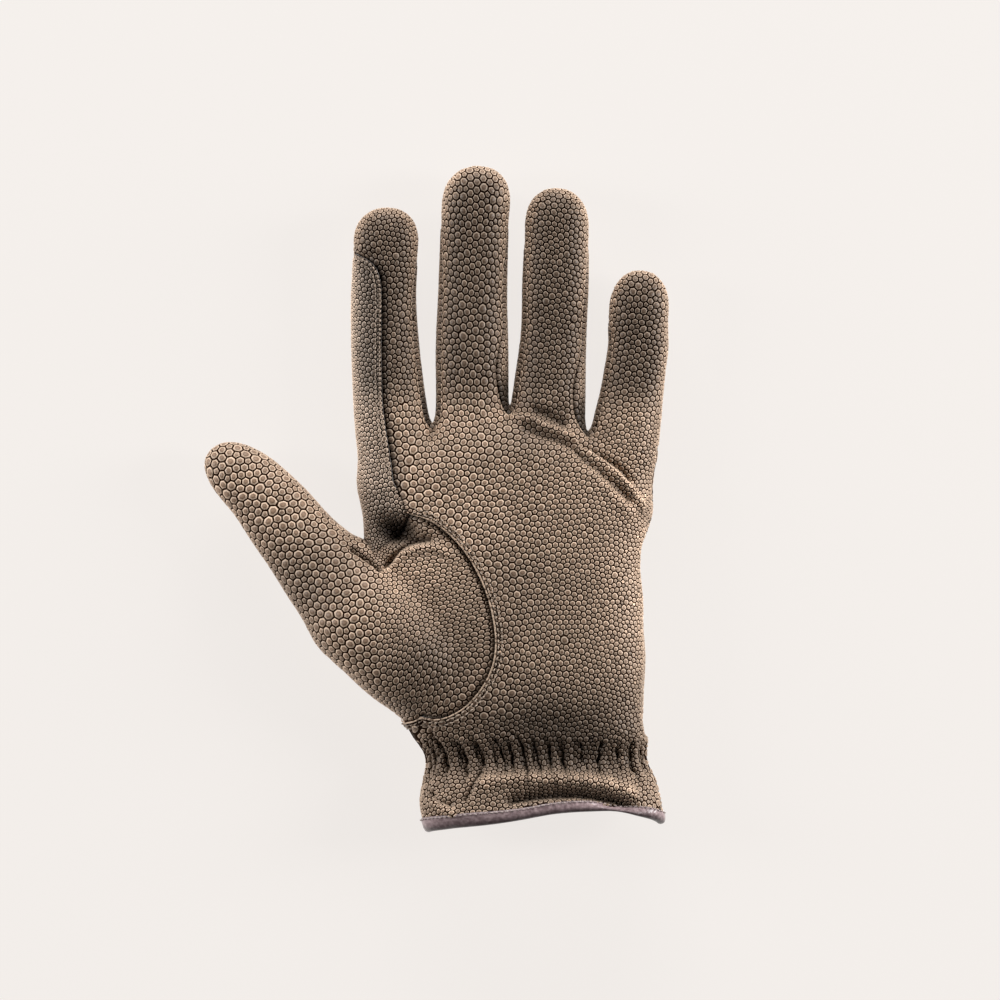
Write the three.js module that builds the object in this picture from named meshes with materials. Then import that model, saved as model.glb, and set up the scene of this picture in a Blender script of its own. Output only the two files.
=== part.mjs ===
// A left-hand riding glove of thin embossed synthetic leather, lying on its back with the palm up.
// It is cut and sewn as a real one is: a palm, a back, a set-in thumb, three fourchettes between the
// fingers, a rein patch on the index finger's outer side, and a bound edge round the cuff.
// All the panels lie on one surface, the shape of the worn glove, which is written as a distance field.
// Millimetres. +X points to the little finger, +Y to the fingertips, +Z up, away from the floor.
import * as THREE from "three";

// Leather and sewing
const wall = 1.2; // leather thickness
const seamGap = 0.5; // space between two panels at a seam
const bindingHeight = 3.2; // how far the bound edge reaches up the cuff
const bindingThickness = 0.7;
const bindingGap = 0.4; // between the binding and the leather that it holds

// The hand that the glove is cut for
const palmLength = 139.4; // from the lowest point of the hem to the highest crotch
const palmThickness = 30;
const fingerSpacing = 1.4; // between two neighbouring fingers at their roots
const floorPress = 1; // how far the fingers' backs are flattened where they rest
const fingers = [
  { name: "index", width: 24, length: 71, depth: 0.86, tip: 11, lean: -1.6, root: -7, curl: 2.5 },
  { name: "middle", width: 23.7, length: 79.5, depth: 0.87, tip: 12.4, lean: 1.6, root: -2, curl: 3 },
  { name: "ring", width: 24, length: 73.4, depth: 0.86, tip: 12, lean: 2.4, root: -3, curl: 2.5 },
  { name: "little", width: 22.4, length: 57, depth: 0.84, tip: 13, lean: 5.4, root: -13, curl: 2 },
]; // lean in degrees; root is where the length starts, above or below the highest crotch

const thumbLength = 90.5; // from inside the ball of the thumb to the tip
const thumbWidth = 34; // across the ball of the thumb
const thumbLean = 43.6; // degrees from the fingers' direction
const thumbTip = 20; // length of its rounded end
const thumbRoot = { x: -0.348, y: 0.42 }; // shares of the palm's width and length

// Gathers, made by an elastic sewn inside
const gatherDepth = 1.5;
const gatherRibs = 18; // ribs across each side of the glove
const gatherReach = 6; // half the height of the gathered band
const gatherLevel = 0.176; // its middle, as a share of the palm's length

// Sections of the fingers: along is a share of the length, wide of the width, and sway of the width
const fingerSections = {
  index: [
    { along: -0.4, wide: 1.0, sway: 0.05 },
    { along: 0.0, wide: 1.0, sway: 0.0 },
    { along: 0.15, wide: 0.96, sway: -0.035 },
    { along: 0.37, wide: 0.905, sway: -0.068 },
    { along: 0.59, wide: 0.865, sway: -0.072 },
    { along: 0.81, wide: 0.865, sway: -0.025 },
    { along: 1.0, wide: 0.86, sway: 0.0 },
  ],
  middle: [
    { along: -0.4, wide: 1.0, sway: 0.0 },
    { along: 0.0, wide: 0.98, sway: 0.025 },
    { along: 0.27, wide: 0.98, sway: 0.0 },
    { along: 0.465, wide: 0.935, sway: -0.01 },
    { along: 0.66, wide: 0.92, sway: -0.01 },
    { along: 0.81, wide: 0.92, sway: -0.004 },
    { along: 1.0, wide: 0.92, sway: 0.025 },
  ],
  ring: [
    { along: -0.4, wide: 1.0, sway: 0.0 },
    { along: 0.0, wide: 1.0, sway: 0.0 },
    { along: 0.146, wide: 0.95, sway: 0.012 },
    { along: 0.36, wide: 0.875, sway: 0.034 },
    { along: 0.57, wide: 0.885, sway: 0.03 },
    { along: 0.78, wide: 0.86, sway: 0.02 },
    { along: 1.0, wide: 0.83, sway: 0.0 },
  ],
  little: [
    { along: -0.4, wide: 1.02, sway: 0.0 },
    { along: 0.0, wide: 1.0, sway: 0.0 },
    { along: 0.16, wide: 0.955, sway: 0.025 },
    { along: 0.295, wide: 0.9, sway: 0.05 },
    { along: 0.43, wide: 0.87, sway: 0.065 },
    { along: 0.57, wide: 0.86, sway: 0.08 },
    { along: 0.705, wide: 0.86, sway: 0.045 },
    { along: 1.0, wide: 0.84, sway: 0.035 },
  ],
};

// Sections of the thumb: wide is a share of its width, sway of its width towards the fingers,
// deep of the palm's thickness, and lift how high its centre lies, as a share of that thickness
const thumbSections = [
  { along: -0.3, wide: 0.9, sway: 0.05, deep: 0.9, lift: 0.56 },
  { along: -0.03, wide: 0.985, sway: 0.01, deep: 0.98, lift: 0.57 },
  { along: 0.11, wide: 1.01, sway: 0.0, deep: 1.0, lift: 0.56 },
  { along: 0.23, wide: 0.99, sway: -0.026, deep: 0.94, lift: 0.54 },
  { along: 0.33, wide: 0.9, sway: 0.0, deep: 0.84, lift: 0.49 },
  { along: 0.43, wide: 0.825, sway: 0.012, deep: 0.76, lift: 0.45 },
  { along: 0.55, wide: 0.745, sway: 0.035, deep: 0.7, lift: 0.42 },
  { along: 0.67, wide: 0.7, sway: 0.065, deep: 0.65, lift: 0.405 },
  { along: 0.8, wide: 0.62, sway: 0.082, deep: 0.58, lift: 0.4 },
  { along: 1.0, wide: 0.6, sway: 0.035, deep: 0.5, lift: 0.41 },
];

// Sections of the palm's body: half is half its width and shift its centre, as shares of the palm's
// width, and top and bottom are heights, as shares of the palm's thickness
const palmSections = [
  { along: -0.05, half: 0.393, shift: 0.122, top: 1.02, bottom: 0.045 },
  { along: 0.011, half: 0.391, shift: 0.12, top: 1.0, bottom: 0.045 },
  { along: 0.077, half: 0.389, shift: 0.104, top: 0.98, bottom: 0.045 },
  { along: 0.133, half: 0.377, shift: 0.104, top: 0.91, bottom: 0.055 },
  { along: 0.179, half: 0.372, shift: 0.096, top: 0.87, bottom: 0.065 },
  { along: 0.217, half: 0.386, shift: 0.082, top: 0.92, bottom: 0.02 },
  { along: 0.273, half: 0.395, shift: 0.057, top: 0.953, bottom: -0.04 },
  { along: 0.329, half: 0.402, shift: 0.052, top: 0.95, bottom: -0.07 },
  { along: 0.412, half: 0.414, shift: 0.045, top: 0.933, bottom: -0.083 },
  { along: 0.496, half: 0.4255, shift: 0.025, top: 0.917, bottom: -0.083 },
  { along: 0.58, half: 0.4415, shift: 0.012, top: 0.9, bottom: -0.083 },
  { along: 0.664, half: 0.456, shift: -0.008, top: 0.877, bottom: -0.083 },
  { along: 0.748, half: 0.47, shift: -0.003, top: 0.85, bottom: -0.083 },
  { along: 0.832, half: 0.4775, shift: 0.0, top: 0.817, bottom: -0.08 },
  { along: 0.915, half: 0.48, shift: 0.0, top: 0.767, bottom: -0.075 },
  { along: 1.1, half: 0.48, shift: 0.0, top: 0.68, bottom: -0.06 },
];

// The edge where the palm ends and the fingers begin: across is a share of the palm's width, from its
// outer side at the index finger, and level a share of its length
const palmTop = [
  { across: -0.1, level: 0.885 },
  { across: 0.1, level: 0.9 },
  { across: 0.25, level: 0.942 },
  { across: 0.38, level: 0.955 },
  { across: 0.505, level: 0.952 },
  { across: 0.63, level: 0.942 },
  { across: 0.765, level: 0.915 },
  { across: 0.9, level: 0.85 },
  { across: 1.1, level: 0.8 },
];

// The hem seen from the palm side: lowest at the thumb side, highest past the middle
const hem = [
  { across: 0.0, level: 0.012 },
  { across: 0.228, level: 0.014 },
  { across: 0.31, level: 0.02 },
  { across: 0.397, level: 0.031 },
  { across: 0.47, level: 0.045 },
  { across: 0.545, level: 0.059 },
  { across: 0.66, level: 0.069 },
  { across: 0.777, level: 0.073 },
  { across: 0.86, level: 0.068 },
  { across: 0.909, level: 0.059 },
  { across: 0.96, level: 0.047 },
  { across: 1.008, level: 0.036 },
  { across: 1.1, level: 0.032 },
];
const backHem = 0.08; // its middle at the back

// Folds of the leather on the palm side, from one end to the other, as shares of the palm's width
// and length. The height of each ridge, its reach to either side and the depth of the valley beside it
// are shares of the palm's thickness, and a valley's sign gives its side.
const folds = [
  { name: "ring crease", height: 0.035, reach: 0.052, valley: 0.045,
    path: [[0.545, 0.985], [0.6, 0.968], [0.68, 0.946], [0.765, 0.938]] },
  { name: "little crease", height: 0.038, reach: 0.058, valley: -0.055,
    path: [[0.79, 0.935], [0.84, 0.905], [0.9, 0.865], [0.965, 0.81]] },
  { name: "cuff roll", height: 0.0433, reach: 0.0867, valley: -0.0467,
    path: [[0.5, 0.112], [0.64, 0.12], [0.8, 0.118], [0.94, 0.1]] },
  { name: "cuff tuck", height: 0.03, reach: 0.0667, valley: 0.03,
    path: [[0.2, 0.085], [0.33, 0.072], [0.48, 0.072]] },
];

// Seams that are drawn on the surface, as shares of the palm's width and length
const thumbSeamPalm = [
  [0.165, 0.75], [0.248, 0.732], [0.347, 0.673], [0.43, 0.569], [0.463, 0.452], [0.446, 0.382],
  [0.38, 0.312], [0.281, 0.265], [0.188, 0.254],
];
const thumbSeamBack = [
  [0.19, 0.254], [0.2, 0.28], [0.215, 0.35], [0.222, 0.43], [0.215, 0.51], [0.19, 0.58], [0.14, 0.63],
  [0.08, 0.66],
];
const webPlace = { across: 0.06, along: 0.66 }; // near the thumb's crotch
const webHeights = [0.7, 0.45, 0.25]; // shares of the palm's thickness

// How high the side seams lie, as shares of half the thickness above or below its middle: the seam
// on the little finger's side comes into view for a stretch above the wrist
const sideSeam = [
  { along: 0.0, height: -0.12 },
  { along: 0.2, height: -0.25 },
  { along: 0.27, height: -0.15 },
  { along: 0.3, height: 0.12 },
  { along: 0.4, height: 0.16 },
  { along: 0.48, height: 0.1 },
  { along: 0.54, height: -0.2 },
  { along: 0.8, height: -0.25 },
  { along: 1.1, height: -0.25 },
];

// Seams along the fingers, as angles in degrees from the middle of the palm side, at rows that run from
// the finger's foot (0) to where its rounded end begins (1). The palm meets a fourchette at palm, and the
// fourchette the back at back. On the index finger's outer side the rein patch takes the fourchette's
// place, between patch and patchBack. The little finger's outer side has one seam.
const seamAngles = [
  { row: 0, palm: 62, back: 118, patch: 2, patchBack: 118, outer: 100 },
  { row: 0.5, palm: 62, back: 118, patch: 2, patchBack: 118, outer: 100 },
  { row: 0.7, palm: 66, back: 114, patch: 3, patchBack: 114, outer: 98 },
  { row: 0.8, palm: 74, back: 106, patch: 10, patchBack: 108, outer: 95 },
  { row: 0.88, palm: 81, back: 99, patch: 46, patchBack: 102, outer: 93 },
  { row: 0.95, palm: 86.5, back: 93.5, patch: 83, patchBack: 95, outer: 91 },
  { row: 1, palm: 90, back: 90, patch: 90, patchBack: 90, outer: 90 },
];

// How finely the surface is divided
const fingerColumns = 6;
const fingerRows = [0.07, 0.18, 0.32, 0.47, 0.62, 0.72, 0.8, 0.88, 0.95]; // from foot to cap
const capRows = [0.35, 0.7, 1];
const sideRows = 11; // along the thumb's seam
const fourchetteColumns = 4;
const patchColumns = 6;

// Plain names for what follows from the sizes above
const radians = THREE.MathUtils.degToRad;
const palmWidth = fingers.reduce((sum, f) => sum + f.width, 0) + 3 * fingerSpacing;
const palmAxis = 22.2; // x of the middle of the finger roots
const outerX = palmAxis - palmWidth / 2;
const hemY = -108.5;
const crotchY = hemY + palmLength;
const atAcross = (share) => outerX + share * palmWidth;
const atAlong = (share) => hemY + share * palmLength;
const clamp = THREE.MathUtils.clamp;
const mix = THREE.MathUtils.lerp;
const ease = (t) => THREE.MathUtils.smoothstep(t, 0, 1);

// A column of a table at a place between its rows, along a smooth curve
function column(table, place, key, at) {
  let i = 0;
  while (i < table.length - 2 && at > table[i + 1][place]) i++;
  const [a, b] = [table[i], table[i + 1]];
  const before = table[Math.max(i - 1, 0)];
  const after = table[Math.min(i + 2, table.length - 1)];
  const span = b[place] - a[place];
  const t = clamp((at - a[place]) / span, 0, 1);
  const slope = (p, q) => (p === q ? 0 : (q[key] - p[key]) / (q[place] - p[place]));
  const m0 = slope(before, b) * span;
  const m1 = slope(a, after) * span;
  const [t2, t3] = [t * t, t * t * t];
  return (
    a[key] * (2 * t3 - 3 * t2 + 1) + m0 * (t3 - 2 * t2 + t) + b[key] * (3 * t2 - 2 * t3) + m1 * (t3 - t2)
  );
}

// A smooth curve through points that are shares of the palm's width and length
function drawn(points, back) {
  const z = back ? 0 : palmThickness;
  return new THREE.CatmullRomCurve3(
    points.map(([across, along]) => new THREE.Vector3(atAcross(across), atAlong(along), z)),
    false,
    "centripetal",
  );
}

// Each finger and the thumb is a tube with its own axis. place() gives a point round it.
function makeTube({ x, y, lean, length, tip, halfWidth, halfDepth, sway, lift }) {
  const [dx, dy] = [Math.sin(radians(lean)), Math.cos(radians(lean))];
  return {
    length,
    tip,
    halfWidth,
    halfDepth,
    lift,
    capStart: length - tip,
    local(p) {
      const [rx, ry] = [p.x - x, p.y - y];
      const along = rx * dx + ry * dy;
      return { along, side: rx * dy - ry * dx - sway(along / length) };
    },
    place(along, side, height) {
      const share = along / length;
      const across = sway(share) + side * halfWidth(share);
      return new THREE.Vector3(
        x + dx * along + dy * across,
        y + dy * along - dx * across,
        lift(share) + height * halfDepth(share),
      );
    },
  };
}

let rootX = outerX;
const fingerTubes = fingers.map((f) => {
  const table = fingerSections[f.name];
  const x = rootX + f.width / 2;
  rootX += f.width + fingerSpacing;
  const halfWidth = (share) => (f.width / 2) * column(table, "along", "wide", share);
  const halfDepth = (share) => f.depth * halfWidth(share);
  return makeTube({
    x,
    y: crotchY + f.root,
    lean: f.lean,
    length: f.length,
    tip: f.tip,
    halfWidth,
    halfDepth,
    sway: (share) => f.width * column(table, "along", "sway", share),
    lift: (share) => halfDepth(share) - floorPress + f.curl * Math.max(share, 0) ** 2,
  });
});

const thumbTube = makeTube({
  x: palmAxis + thumbRoot.x * palmWidth,
  y: atAlong(thumbRoot.y),
  lean: -thumbLean,
  length: thumbLength,
  tip: thumbTip,
  halfWidth: (share) => (thumbWidth / 2) * column(thumbSections, "along", "wide", share),
  halfDepth: (share) => (palmThickness / 2) * column(thumbSections, "along", "deep", share),
  sway: (share) => thumbWidth * column(thumbSections, "along", "sway", share),
  lift: (share) => palmThickness * column(thumbSections, "along", "lift", share),
});

const roundness = 2.25; // exponent of the sections: 2 is an ellipse, and more is squarer
const power = (value, n) => Math.abs(value) ** n;

function tubeField(tube, p, rootReach) {
  const { along, side } = tube.local(p);
  const share = clamp(along / tube.length, -0.4, 1);
  const wide = tube.halfWidth(share);
  const deep = tube.halfDepth(share);
  const past = Math.max(along - tube.capStart, 0) / tube.tip + Math.max(-along, 0) / rootReach;
  const r =
    (power(side / wide, roundness) +
      power((p.z - tube.lift(share)) / deep, roundness) +
      power(past, roundness)) **
    (1 / roundness);
  return (r - 1) * Math.min(wide, deep);
}

// The palm's body: middle, half width, and the heights of its top and bottom, at a place along it
function bodyAt(y) {
  const along = (y - hemY) / palmLength;
  const top = palmThickness * column(palmSections, "along", "top", along);
  const bottom = palmThickness * column(palmSections, "along", "bottom", along);
  return {
    x: palmAxis + palmWidth * column(palmSections, "along", "shift", along),
    half: palmWidth * column(palmSections, "along", "half", along),
    z: (top + bottom) / 2,
    deep: (top - bottom) / 2,
  };
}

const palmRoundness = 2.5;
const palmEnd = 14; // length of the palm's rounded end between the fingers
function bodyField(p) {
  const body = bodyAt(p.y);
  const across = clamp((p.x - outerX) / palmWidth, -0.1, 1.1);
  const top = atAlong(column(palmTop, "across", "level", across));
  const past = Math.max(p.y - top + palmEnd, 0) / palmEnd;
  const r =
    (power((p.x - body.x) / body.half, palmRoundness) +
      power((p.z - body.z) / body.deep, palmRoundness) +
      power(past, palmRoundness)) **
    (1 / palmRoundness);
  return (r - 1) * body.deep;
}

// The smaller of two distances, rounded where they cross over a length k
function blend(a, b, k) {
  const h = Math.max(k - Math.abs(a - b), 0) / k;
  return Math.min(a, b) - (h * h * k) / 4;
}

const betweenFingers = 0.8;
const fingersToPalm = 6;
const thumbToPalm = 3.5;
const floorEdge = 1.5;
const fingerRoot = 24;
const thumbRootReach = 24;
const palmHollow = { across: 0.56, along: 0.62, depth: 2.2, reach: 22 };

function handField(p) {
  const apart = fingerTubes.map((tube) => tubeField(tube, p, fingerRoot));
  return blend(apart.reduce((a, b) => blend(a, b, betweenFingers)), bodyField(p), fingersToPalm);
}

const thumbField = (p) => tubeField(thumbTube, p, thumbRootReach);

function field(p) {
  return -blend(-blend(handField(p), thumbField(p), thumbToPalm), p.z, floorEdge);
}

const step = 0.005;
function slope(p, here = field(p), of = field) {
  const along = (axis) => {
    const q = p.clone();
    q[axis] += step;
    return (of(q) - here) / step;
  };
  return new THREE.Vector3(along("x"), along("y"), along("z"));
}

// Moves a point onto the surface along the field's slope
function settle(p) {
  for (let i = 0; i < 8; i++) {
    const d = field(p);
    if (Math.abs(d) < 1e-4) break;
    const g = slope(p, d);
    const move = clamp(d / Math.max(g.lengthSq(), 0.05), -3, 3);
    p.addScaledVector(g, -move);
  }
  if (Math.abs(p.z) < 2e-3) p.z = 0;
  return p;
}

const outward = (p) => slope(p).normalize();

// Height of the folds and gathers above the smooth surface
const foldCurves = folds.map((fold) => ({ ...fold, points: drawn(fold.path).getPoints(24) }));

function foldHeight(p) {
  let height = 0;
  for (const fold of foldCurves) {
    let nearest = { distance: Infinity };
    fold.points.slice(1).forEach((b, i) => {
      const a = fold.points[i];
      const [ex, ey] = [b.x - a.x, b.y - a.y];
      const t = clamp(((p.x - a.x) * ex + (p.y - a.y) * ey) / (ex * ex + ey * ey), 0, 1);
      const [rx, ry] = [p.x - a.x - ex * t, p.y - a.y - ey * t];
      const distance = Math.hypot(rx, ry);
      if (distance < nearest.distance)
        nearest = { distance, share: (i + t) / (fold.points.length - 1), side: Math.sign(ex * ry - ey * rx) };
    });
    const across = (nearest.distance * nearest.side) / (fold.reach * palmThickness);
    const ends = ease(4 * Math.min(nearest.share, 1 - nearest.share) + 0.15);
    const valley = Math.exp(-((across - 1.5 * Math.sign(fold.valley)) ** 2));
    height += ends * (fold.height * Math.exp(-across * across) - Math.abs(fold.valley) * valley);
  }
  return height * palmThickness;
}

// How far round the palm's body a point lies: 0 in the middle of the palm side, and negative on the
// thumb's side. Equal steps of this angle are nearly equal distances along the leather.
const angleFrom = (side, height, body) =>
  Math.atan2(side * Math.sqrt(body.half), height * Math.sqrt(body.deep));

function angleRound(p) {
  const body = bodyAt(p.y);
  return angleFrom((p.x - body.x) / body.half, (p.z - body.z) / body.deep, body);
}

function placeRound(y, angle) {
  const body = bodyAt(y);
  const [side, height] = [Math.sin(angle) / Math.sqrt(body.half), Math.cos(angle) / Math.sqrt(body.deep)];
  const size = (power(side, palmRoundness) + power(height, palmRoundness)) ** (1 / palmRoundness);
  return settle(
    new THREE.Vector3(body.x + (side / size) * body.half, y, body.z + (height / size) * body.deep),
  );
}

// The side seams' angle
function sideAngle(y) {
  const height = column(sideSeam, "along", "height", (y - hemY) / palmLength);
  return angleFrom((1 - power(height, palmRoundness)) ** (1 / palmRoundness), height, bodyAt(y));
}

// The share of the way round the palm side or the back, from the thumb's side to the other
function roundShare(p) {
  const angle = angleRound(p);
  const seam = sideAngle(p.y);
  const beyond = Math.abs(angle) > seam;
  const reach = beyond ? (Math.PI - Math.abs(angle)) / (Math.PI - seam) : Math.abs(angle) / seam;
  return clamp(0.5 + (Math.sign(angle) * reach) / 2, 0, 1);
}

function gatherHeight(p) {
  const away = (p.y - atAlong(gatherLevel)) / gatherReach;
  const band = Math.exp(-(away ** 4));
  return -gatherDepth * band * (0.5 - 0.5 * Math.cos(2 * Math.PI * gatherRibs * roundShare(p)));
}

function hollowHeight(p) {
  const dx = p.x - atAcross(palmHollow.across);
  const dy = p.y - atAlong(palmHollow.along);
  return -palmHollow.depth * Math.exp(-(dx * dx + dy * dy) / palmHollow.reach ** 2);
}

function relief(p, normal) {
  const facing = ease((normal.z - 0.05) / 0.4); // 1 on the palm side
  const offFloor = ease(p.z / 3);
  return facing * (foldHeight(p) + hollowHeight(p)) + offFloor * gatherHeight(p);
}

// A panel of leather: rows of points on the surface, joined by triangles, then given its thickness
class Panel {
  constructor() {
    this.points = [];
    this.triangles = [];
    this.fixed = new Set();
  }

  addRow(points, isFixed = false) {
    return points.map((p) => {
      this.points.push(p.clone());
      if (isFixed) this.fixed.add(this.points.length - 1);
      return this.points.length - 1;
    });
  }

  // Joins two rows, which may have different numbers of points, with triangles that face outwards
  // where the second row lies above the first, seen from outside
  join(low, high) {
    let [i, j] = [0, 0];
    while (i < low.length - 1 || j < high.length - 1) {
      const lowNext = (i + 1) / (low.length - 1);
      const highNext = (j + 1) / (high.length - 1);
      const takeLow = j === high.length - 1 || (i < low.length - 1 && lowNext <= highNext + 1e-9);
      const next = takeLow ? low[i + 1] : high[j + 1];
      this.triangles.push([low[i], next, high[j]]);
      if (takeLow) i++;
      else j++;
    }
    this.triangles = this.triangles.filter(([a, b, c]) => a !== b && b !== c && a !== c);
  }

  edgeUse() {
    const used = new Map();
    for (const t of this.triangles)
      t.forEach((a, i) => {
        const b = t[(i + 1) % 3];
        used.set(`${a},${b}`, [a, b]);
      });
    return used;
  }

  borders() {
    const used = this.edgeUse();
    return [...used.values()].filter(([a, b]) => !used.has(`${b},${a}`));
  }

  // Evens out the points between the borders, keeping them on the surface
  relax(times) {
    const still = new Set([...this.fixed, ...this.borders().flat()]);
    const near = this.points.map(() => new Set());
    for (const t of this.triangles) t.forEach((a, i) => near[a].add(t[(i + 1) % 3]).add(t[(i + 2) % 3]));
    for (let n = 0; n < times; n++)
      this.points = this.points.map((p, i) => {
        if (still.has(i)) return p;
        const middle = new THREE.Vector3();
        for (const k of near[i]) middle.add(this.points[k]);
        middle.divideScalar(near[i].size);
        return settle(p.clone().lerp(middle, 0.6));
      });
  }

  // Raises the folds, draws the edges back from the seams and returns a closed solid
  thicken() {
    const normals = this.points.map(outward);
    const outer = this.points.map((p, i) => p.clone().addScaledVector(normals[i], relief(p, normals[i])));
    const inward = new Map();
    for (const [a, b] of this.borders())
      for (const i of [a, b]) {
        const edge = this.points[b].clone().sub(this.points[a]).normalize();
        const into = new THREE.Vector3().crossVectors(normals[i], edge).normalize();
        inward.set(i, (inward.get(i) ?? new THREE.Vector3()).add(into));
      }
    for (const [i, into] of inward) {
      const miter = Math.min(2 / Math.max(into.length(), 0.1), 2);
      outer[i].addScaledVector(into.normalize(), (miter * seamGap) / 2);
    }
    const inner = outer.map((p, i) => p.clone().addScaledVector(normals[i], -wall));
    const count = outer.length;
    const faces = this.triangles.flatMap(([a, b, c]) => [a, b, c, c + count, b + count, a + count]);
    for (const [a, b] of this.borders()) faces.push(b, a, a + count, b, a + count, b + count);
    return makeGeometry([...outer, ...inner], faces);
  }
}

function makeGeometry(points, faces) {
  const geometry = new THREE.BufferGeometry().setFromPoints(points);
  geometry.setIndex(faces);
  geometry.computeVertexNormals();
  return geometry;
}

// The angle of a finger's left (-1) or right (1) seam at a row. Left is the side of the thumb.
function fingerSeam(i, side, back, row) {
  const last = fingers.length - 1;
  const between = back ? "back" : "palm";
  const beside = back ? "patchBack" : "patch";
  const key = side < 0 && i === 0 ? beside : side > 0 && i === last ? "outer" : between;
  return side * radians(column(seamAngles, "row", key, row));
}

const round = (tube, along, angle) => tube.place(along, Math.sin(angle), Math.cos(angle));

// The crotch between finger i and the next, on the palm side or the back
function crotch(i, back) {
  const [a, b] = [fingerTubes[i], fingerTubes[i + 1]];
  const angle = fingerSeam(i, 1, back, 0);
  const left = round(a, 0, angle);
  const right = round(b, 0, -angle);
  const x = (round(a, 0, Math.PI / 2).x + round(b, 0, -Math.PI / 2).x) / 2;
  const across = (x - outerX) / palmWidth;
  const y = atAlong(column(palmTop, "across", "level", across));
  return settle(new THREE.Vector3(x, y, (left.z + right.z) / 2));
}

const crotches = [0, 1, 2].map((i) => ({ palm: crotch(i, false), back: crotch(i, true) }));
const crotchOpening = 5; // height over which the slit between two fingers opens

// How far open a slit is at a height above its crotch: round at the bottom, then full
function opening(height) {
  const t = clamp(1 - height / crotchOpening, 0, 1);
  return Math.sqrt(1 - t * t);
}

// The feet of a finger's two seams: crotches, save at the outer sides of the first and last finger
const outerFoot = { 0: -0.25, 3: 0.02 }; // shares of the finger's length

// Left (-1) or right (1) seam of a finger at a row, from its foot (0) to where the cap begins (1)
function seamPoint(i, side, back, row) {
  const tube = fingerTubes[i];
  const capShare = tube.capStart / tube.length;
  const pair = crotches[side > 0 ? i : i - 1];
  const foot = pair && (back ? pair.back : pair.palm);
  const footShare = foot ? tube.local(foot).along / tube.length : outerFoot[i];
  const share = mix(footShare, capShare, row);
  const p = round(tube, share * tube.length, fingerSeam(i, side, back, row));
  if (!foot) return settle(p);
  return settle(foot.clone().setY(p.y).lerp(p, opening((share - footShare) * tube.length)));
}

const seamsAt = (i, back, row) => [-1, 1].map((side) => seamPoint(i, side, back, row));

// A row of points across a finger, from its left seam to its right one
function fingerRow(i, back, row) {
  const tube = fingerTubes[i];
  const ends = seamsAt(i, back, row);
  const angles = ends.map((p) => {
    const { along, side } = tube.local(p);
    const share = along / tube.length;
    const height = (p.z - tube.lift(share)) / tube.halfDepth(share);
    const angle = Math.atan2(side / tube.halfWidth(share), height);
    return { along, angle };
  });
  if (back && angles[0].angle > 0) angles[0].angle -= 2 * Math.PI;
  const [from, to] = back
    ? [{ ...angles[0], angle: angles[0].angle + 2 * Math.PI }, angles[1]]
    : angles;
  return Array.from({ length: fingerColumns + 1 }, (_, c) => {
    const t = c / fingerColumns;
    if (c === 0) return ends[0];
    if (c === fingerColumns) return ends[1];
    return settle(round(tube, mix(from.along, to.along, t), mix(from.angle, to.angle, t)));
  });
}

// A row of the rounded fingertip: the square of rows and columns is drawn onto a quarter of a ball
function capRow(i, back, row) {
  const tube = fingerTubes[i];
  return Array.from({ length: fingerColumns + 1 }, (_, c) => {
    const across = (2 * c) / fingerColumns - 1;
    const x = across * Math.sqrt(1 - (row * row) / 2);
    const y = row * Math.sqrt(1 - (across * across) / 2);
    const r = Math.hypot(x, y);
    const out = r > 0 ? Math.sin((r * Math.PI) / 2) / r : 1;
    const height = Math.cos((r * Math.PI) / 2) * (back ? -1 : 1);
    return settle(tube.place(tube.capStart + out * y * tube.tip, out * x, height));
  });
}

// The thumb's seam and the side seams, with as many points as the panels that meet there have rows
const evenly = (curve, count) => curve.getSpacedPoints(count).map(settle);
const palmThumbSeam = evenly(drawn(thumbSeamPalm), sideRows);
const backThumbSeam = evenly(drawn(thumbSeamBack, true), sideRows);
const seamEnd = palmThumbSeam[sideRows];
const sidePoint = (side, y) => placeRound(y, side * sideAngle(y));

// The foot of the thumb's seam lies on the side seam, for the palm and the back alike
seamEnd.copy(sidePoint(-1, seamEnd.y));
backThumbSeam[0].copy(seamEnd);

// The crease between the thumb and the hand: both surfaces pass through it
function inCrease(p) {
  for (let i = 0; i < 20; i++)
    for (const one of [handField, thumbField]) {
      const d = one(p);
      const g = slope(p, d, one);
      p.addScaledVector(g, -clamp(d / Math.max(g.lengthSq(), 0.05), -2, 2));
    }
  return p;
}

// The rein patch's lower end, from the palm through the thumb's crotch round to the back
const patchFoot = palmThumbSeam[0];
const backFoot = backThumbSeam[sideRows];
const webEdge = [
  patchFoot,
  ...webHeights.map((height) => {
    const guess = new THREE.Vector3(atAcross(webPlace.across), atAlong(webPlace.along), height * palmThickness);
    return settle(inCrease(guess));
  }),
  backFoot,
];

// Places across the palm where its columns start: the crotches split them between the fingers
function acrossShares(count, marks) {
  const per = count / (marks.length - 1);
  return Array.from({ length: count + 1 }, (_, c) => {
    const k = Math.min(Math.floor(c / per), marks.length - 2);
    return mix(marks[k], marks[k + 1], c / per - k);
  });
}

// A row across the palm's body between two points of its edges, at shares of its width
function bodyRow(left, right, shares, back, level) {
  return shares.map((t) => {
    if (t <= 0) return left;
    if (t >= 1) return right;
    const x = mix(left.x, right.x, t);
    const y = level(t);
    const body = bodyAt(y);
    const across = clamp((x - body.x) / body.half, -0.999, 0.999);
    const height = (1 - power(across, palmRoundness)) ** (1 / palmRoundness);
    return settle(new THREE.Vector3(x, y, body.z + (back ? -1 : 1) * height * body.deep));
  });
}

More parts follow.
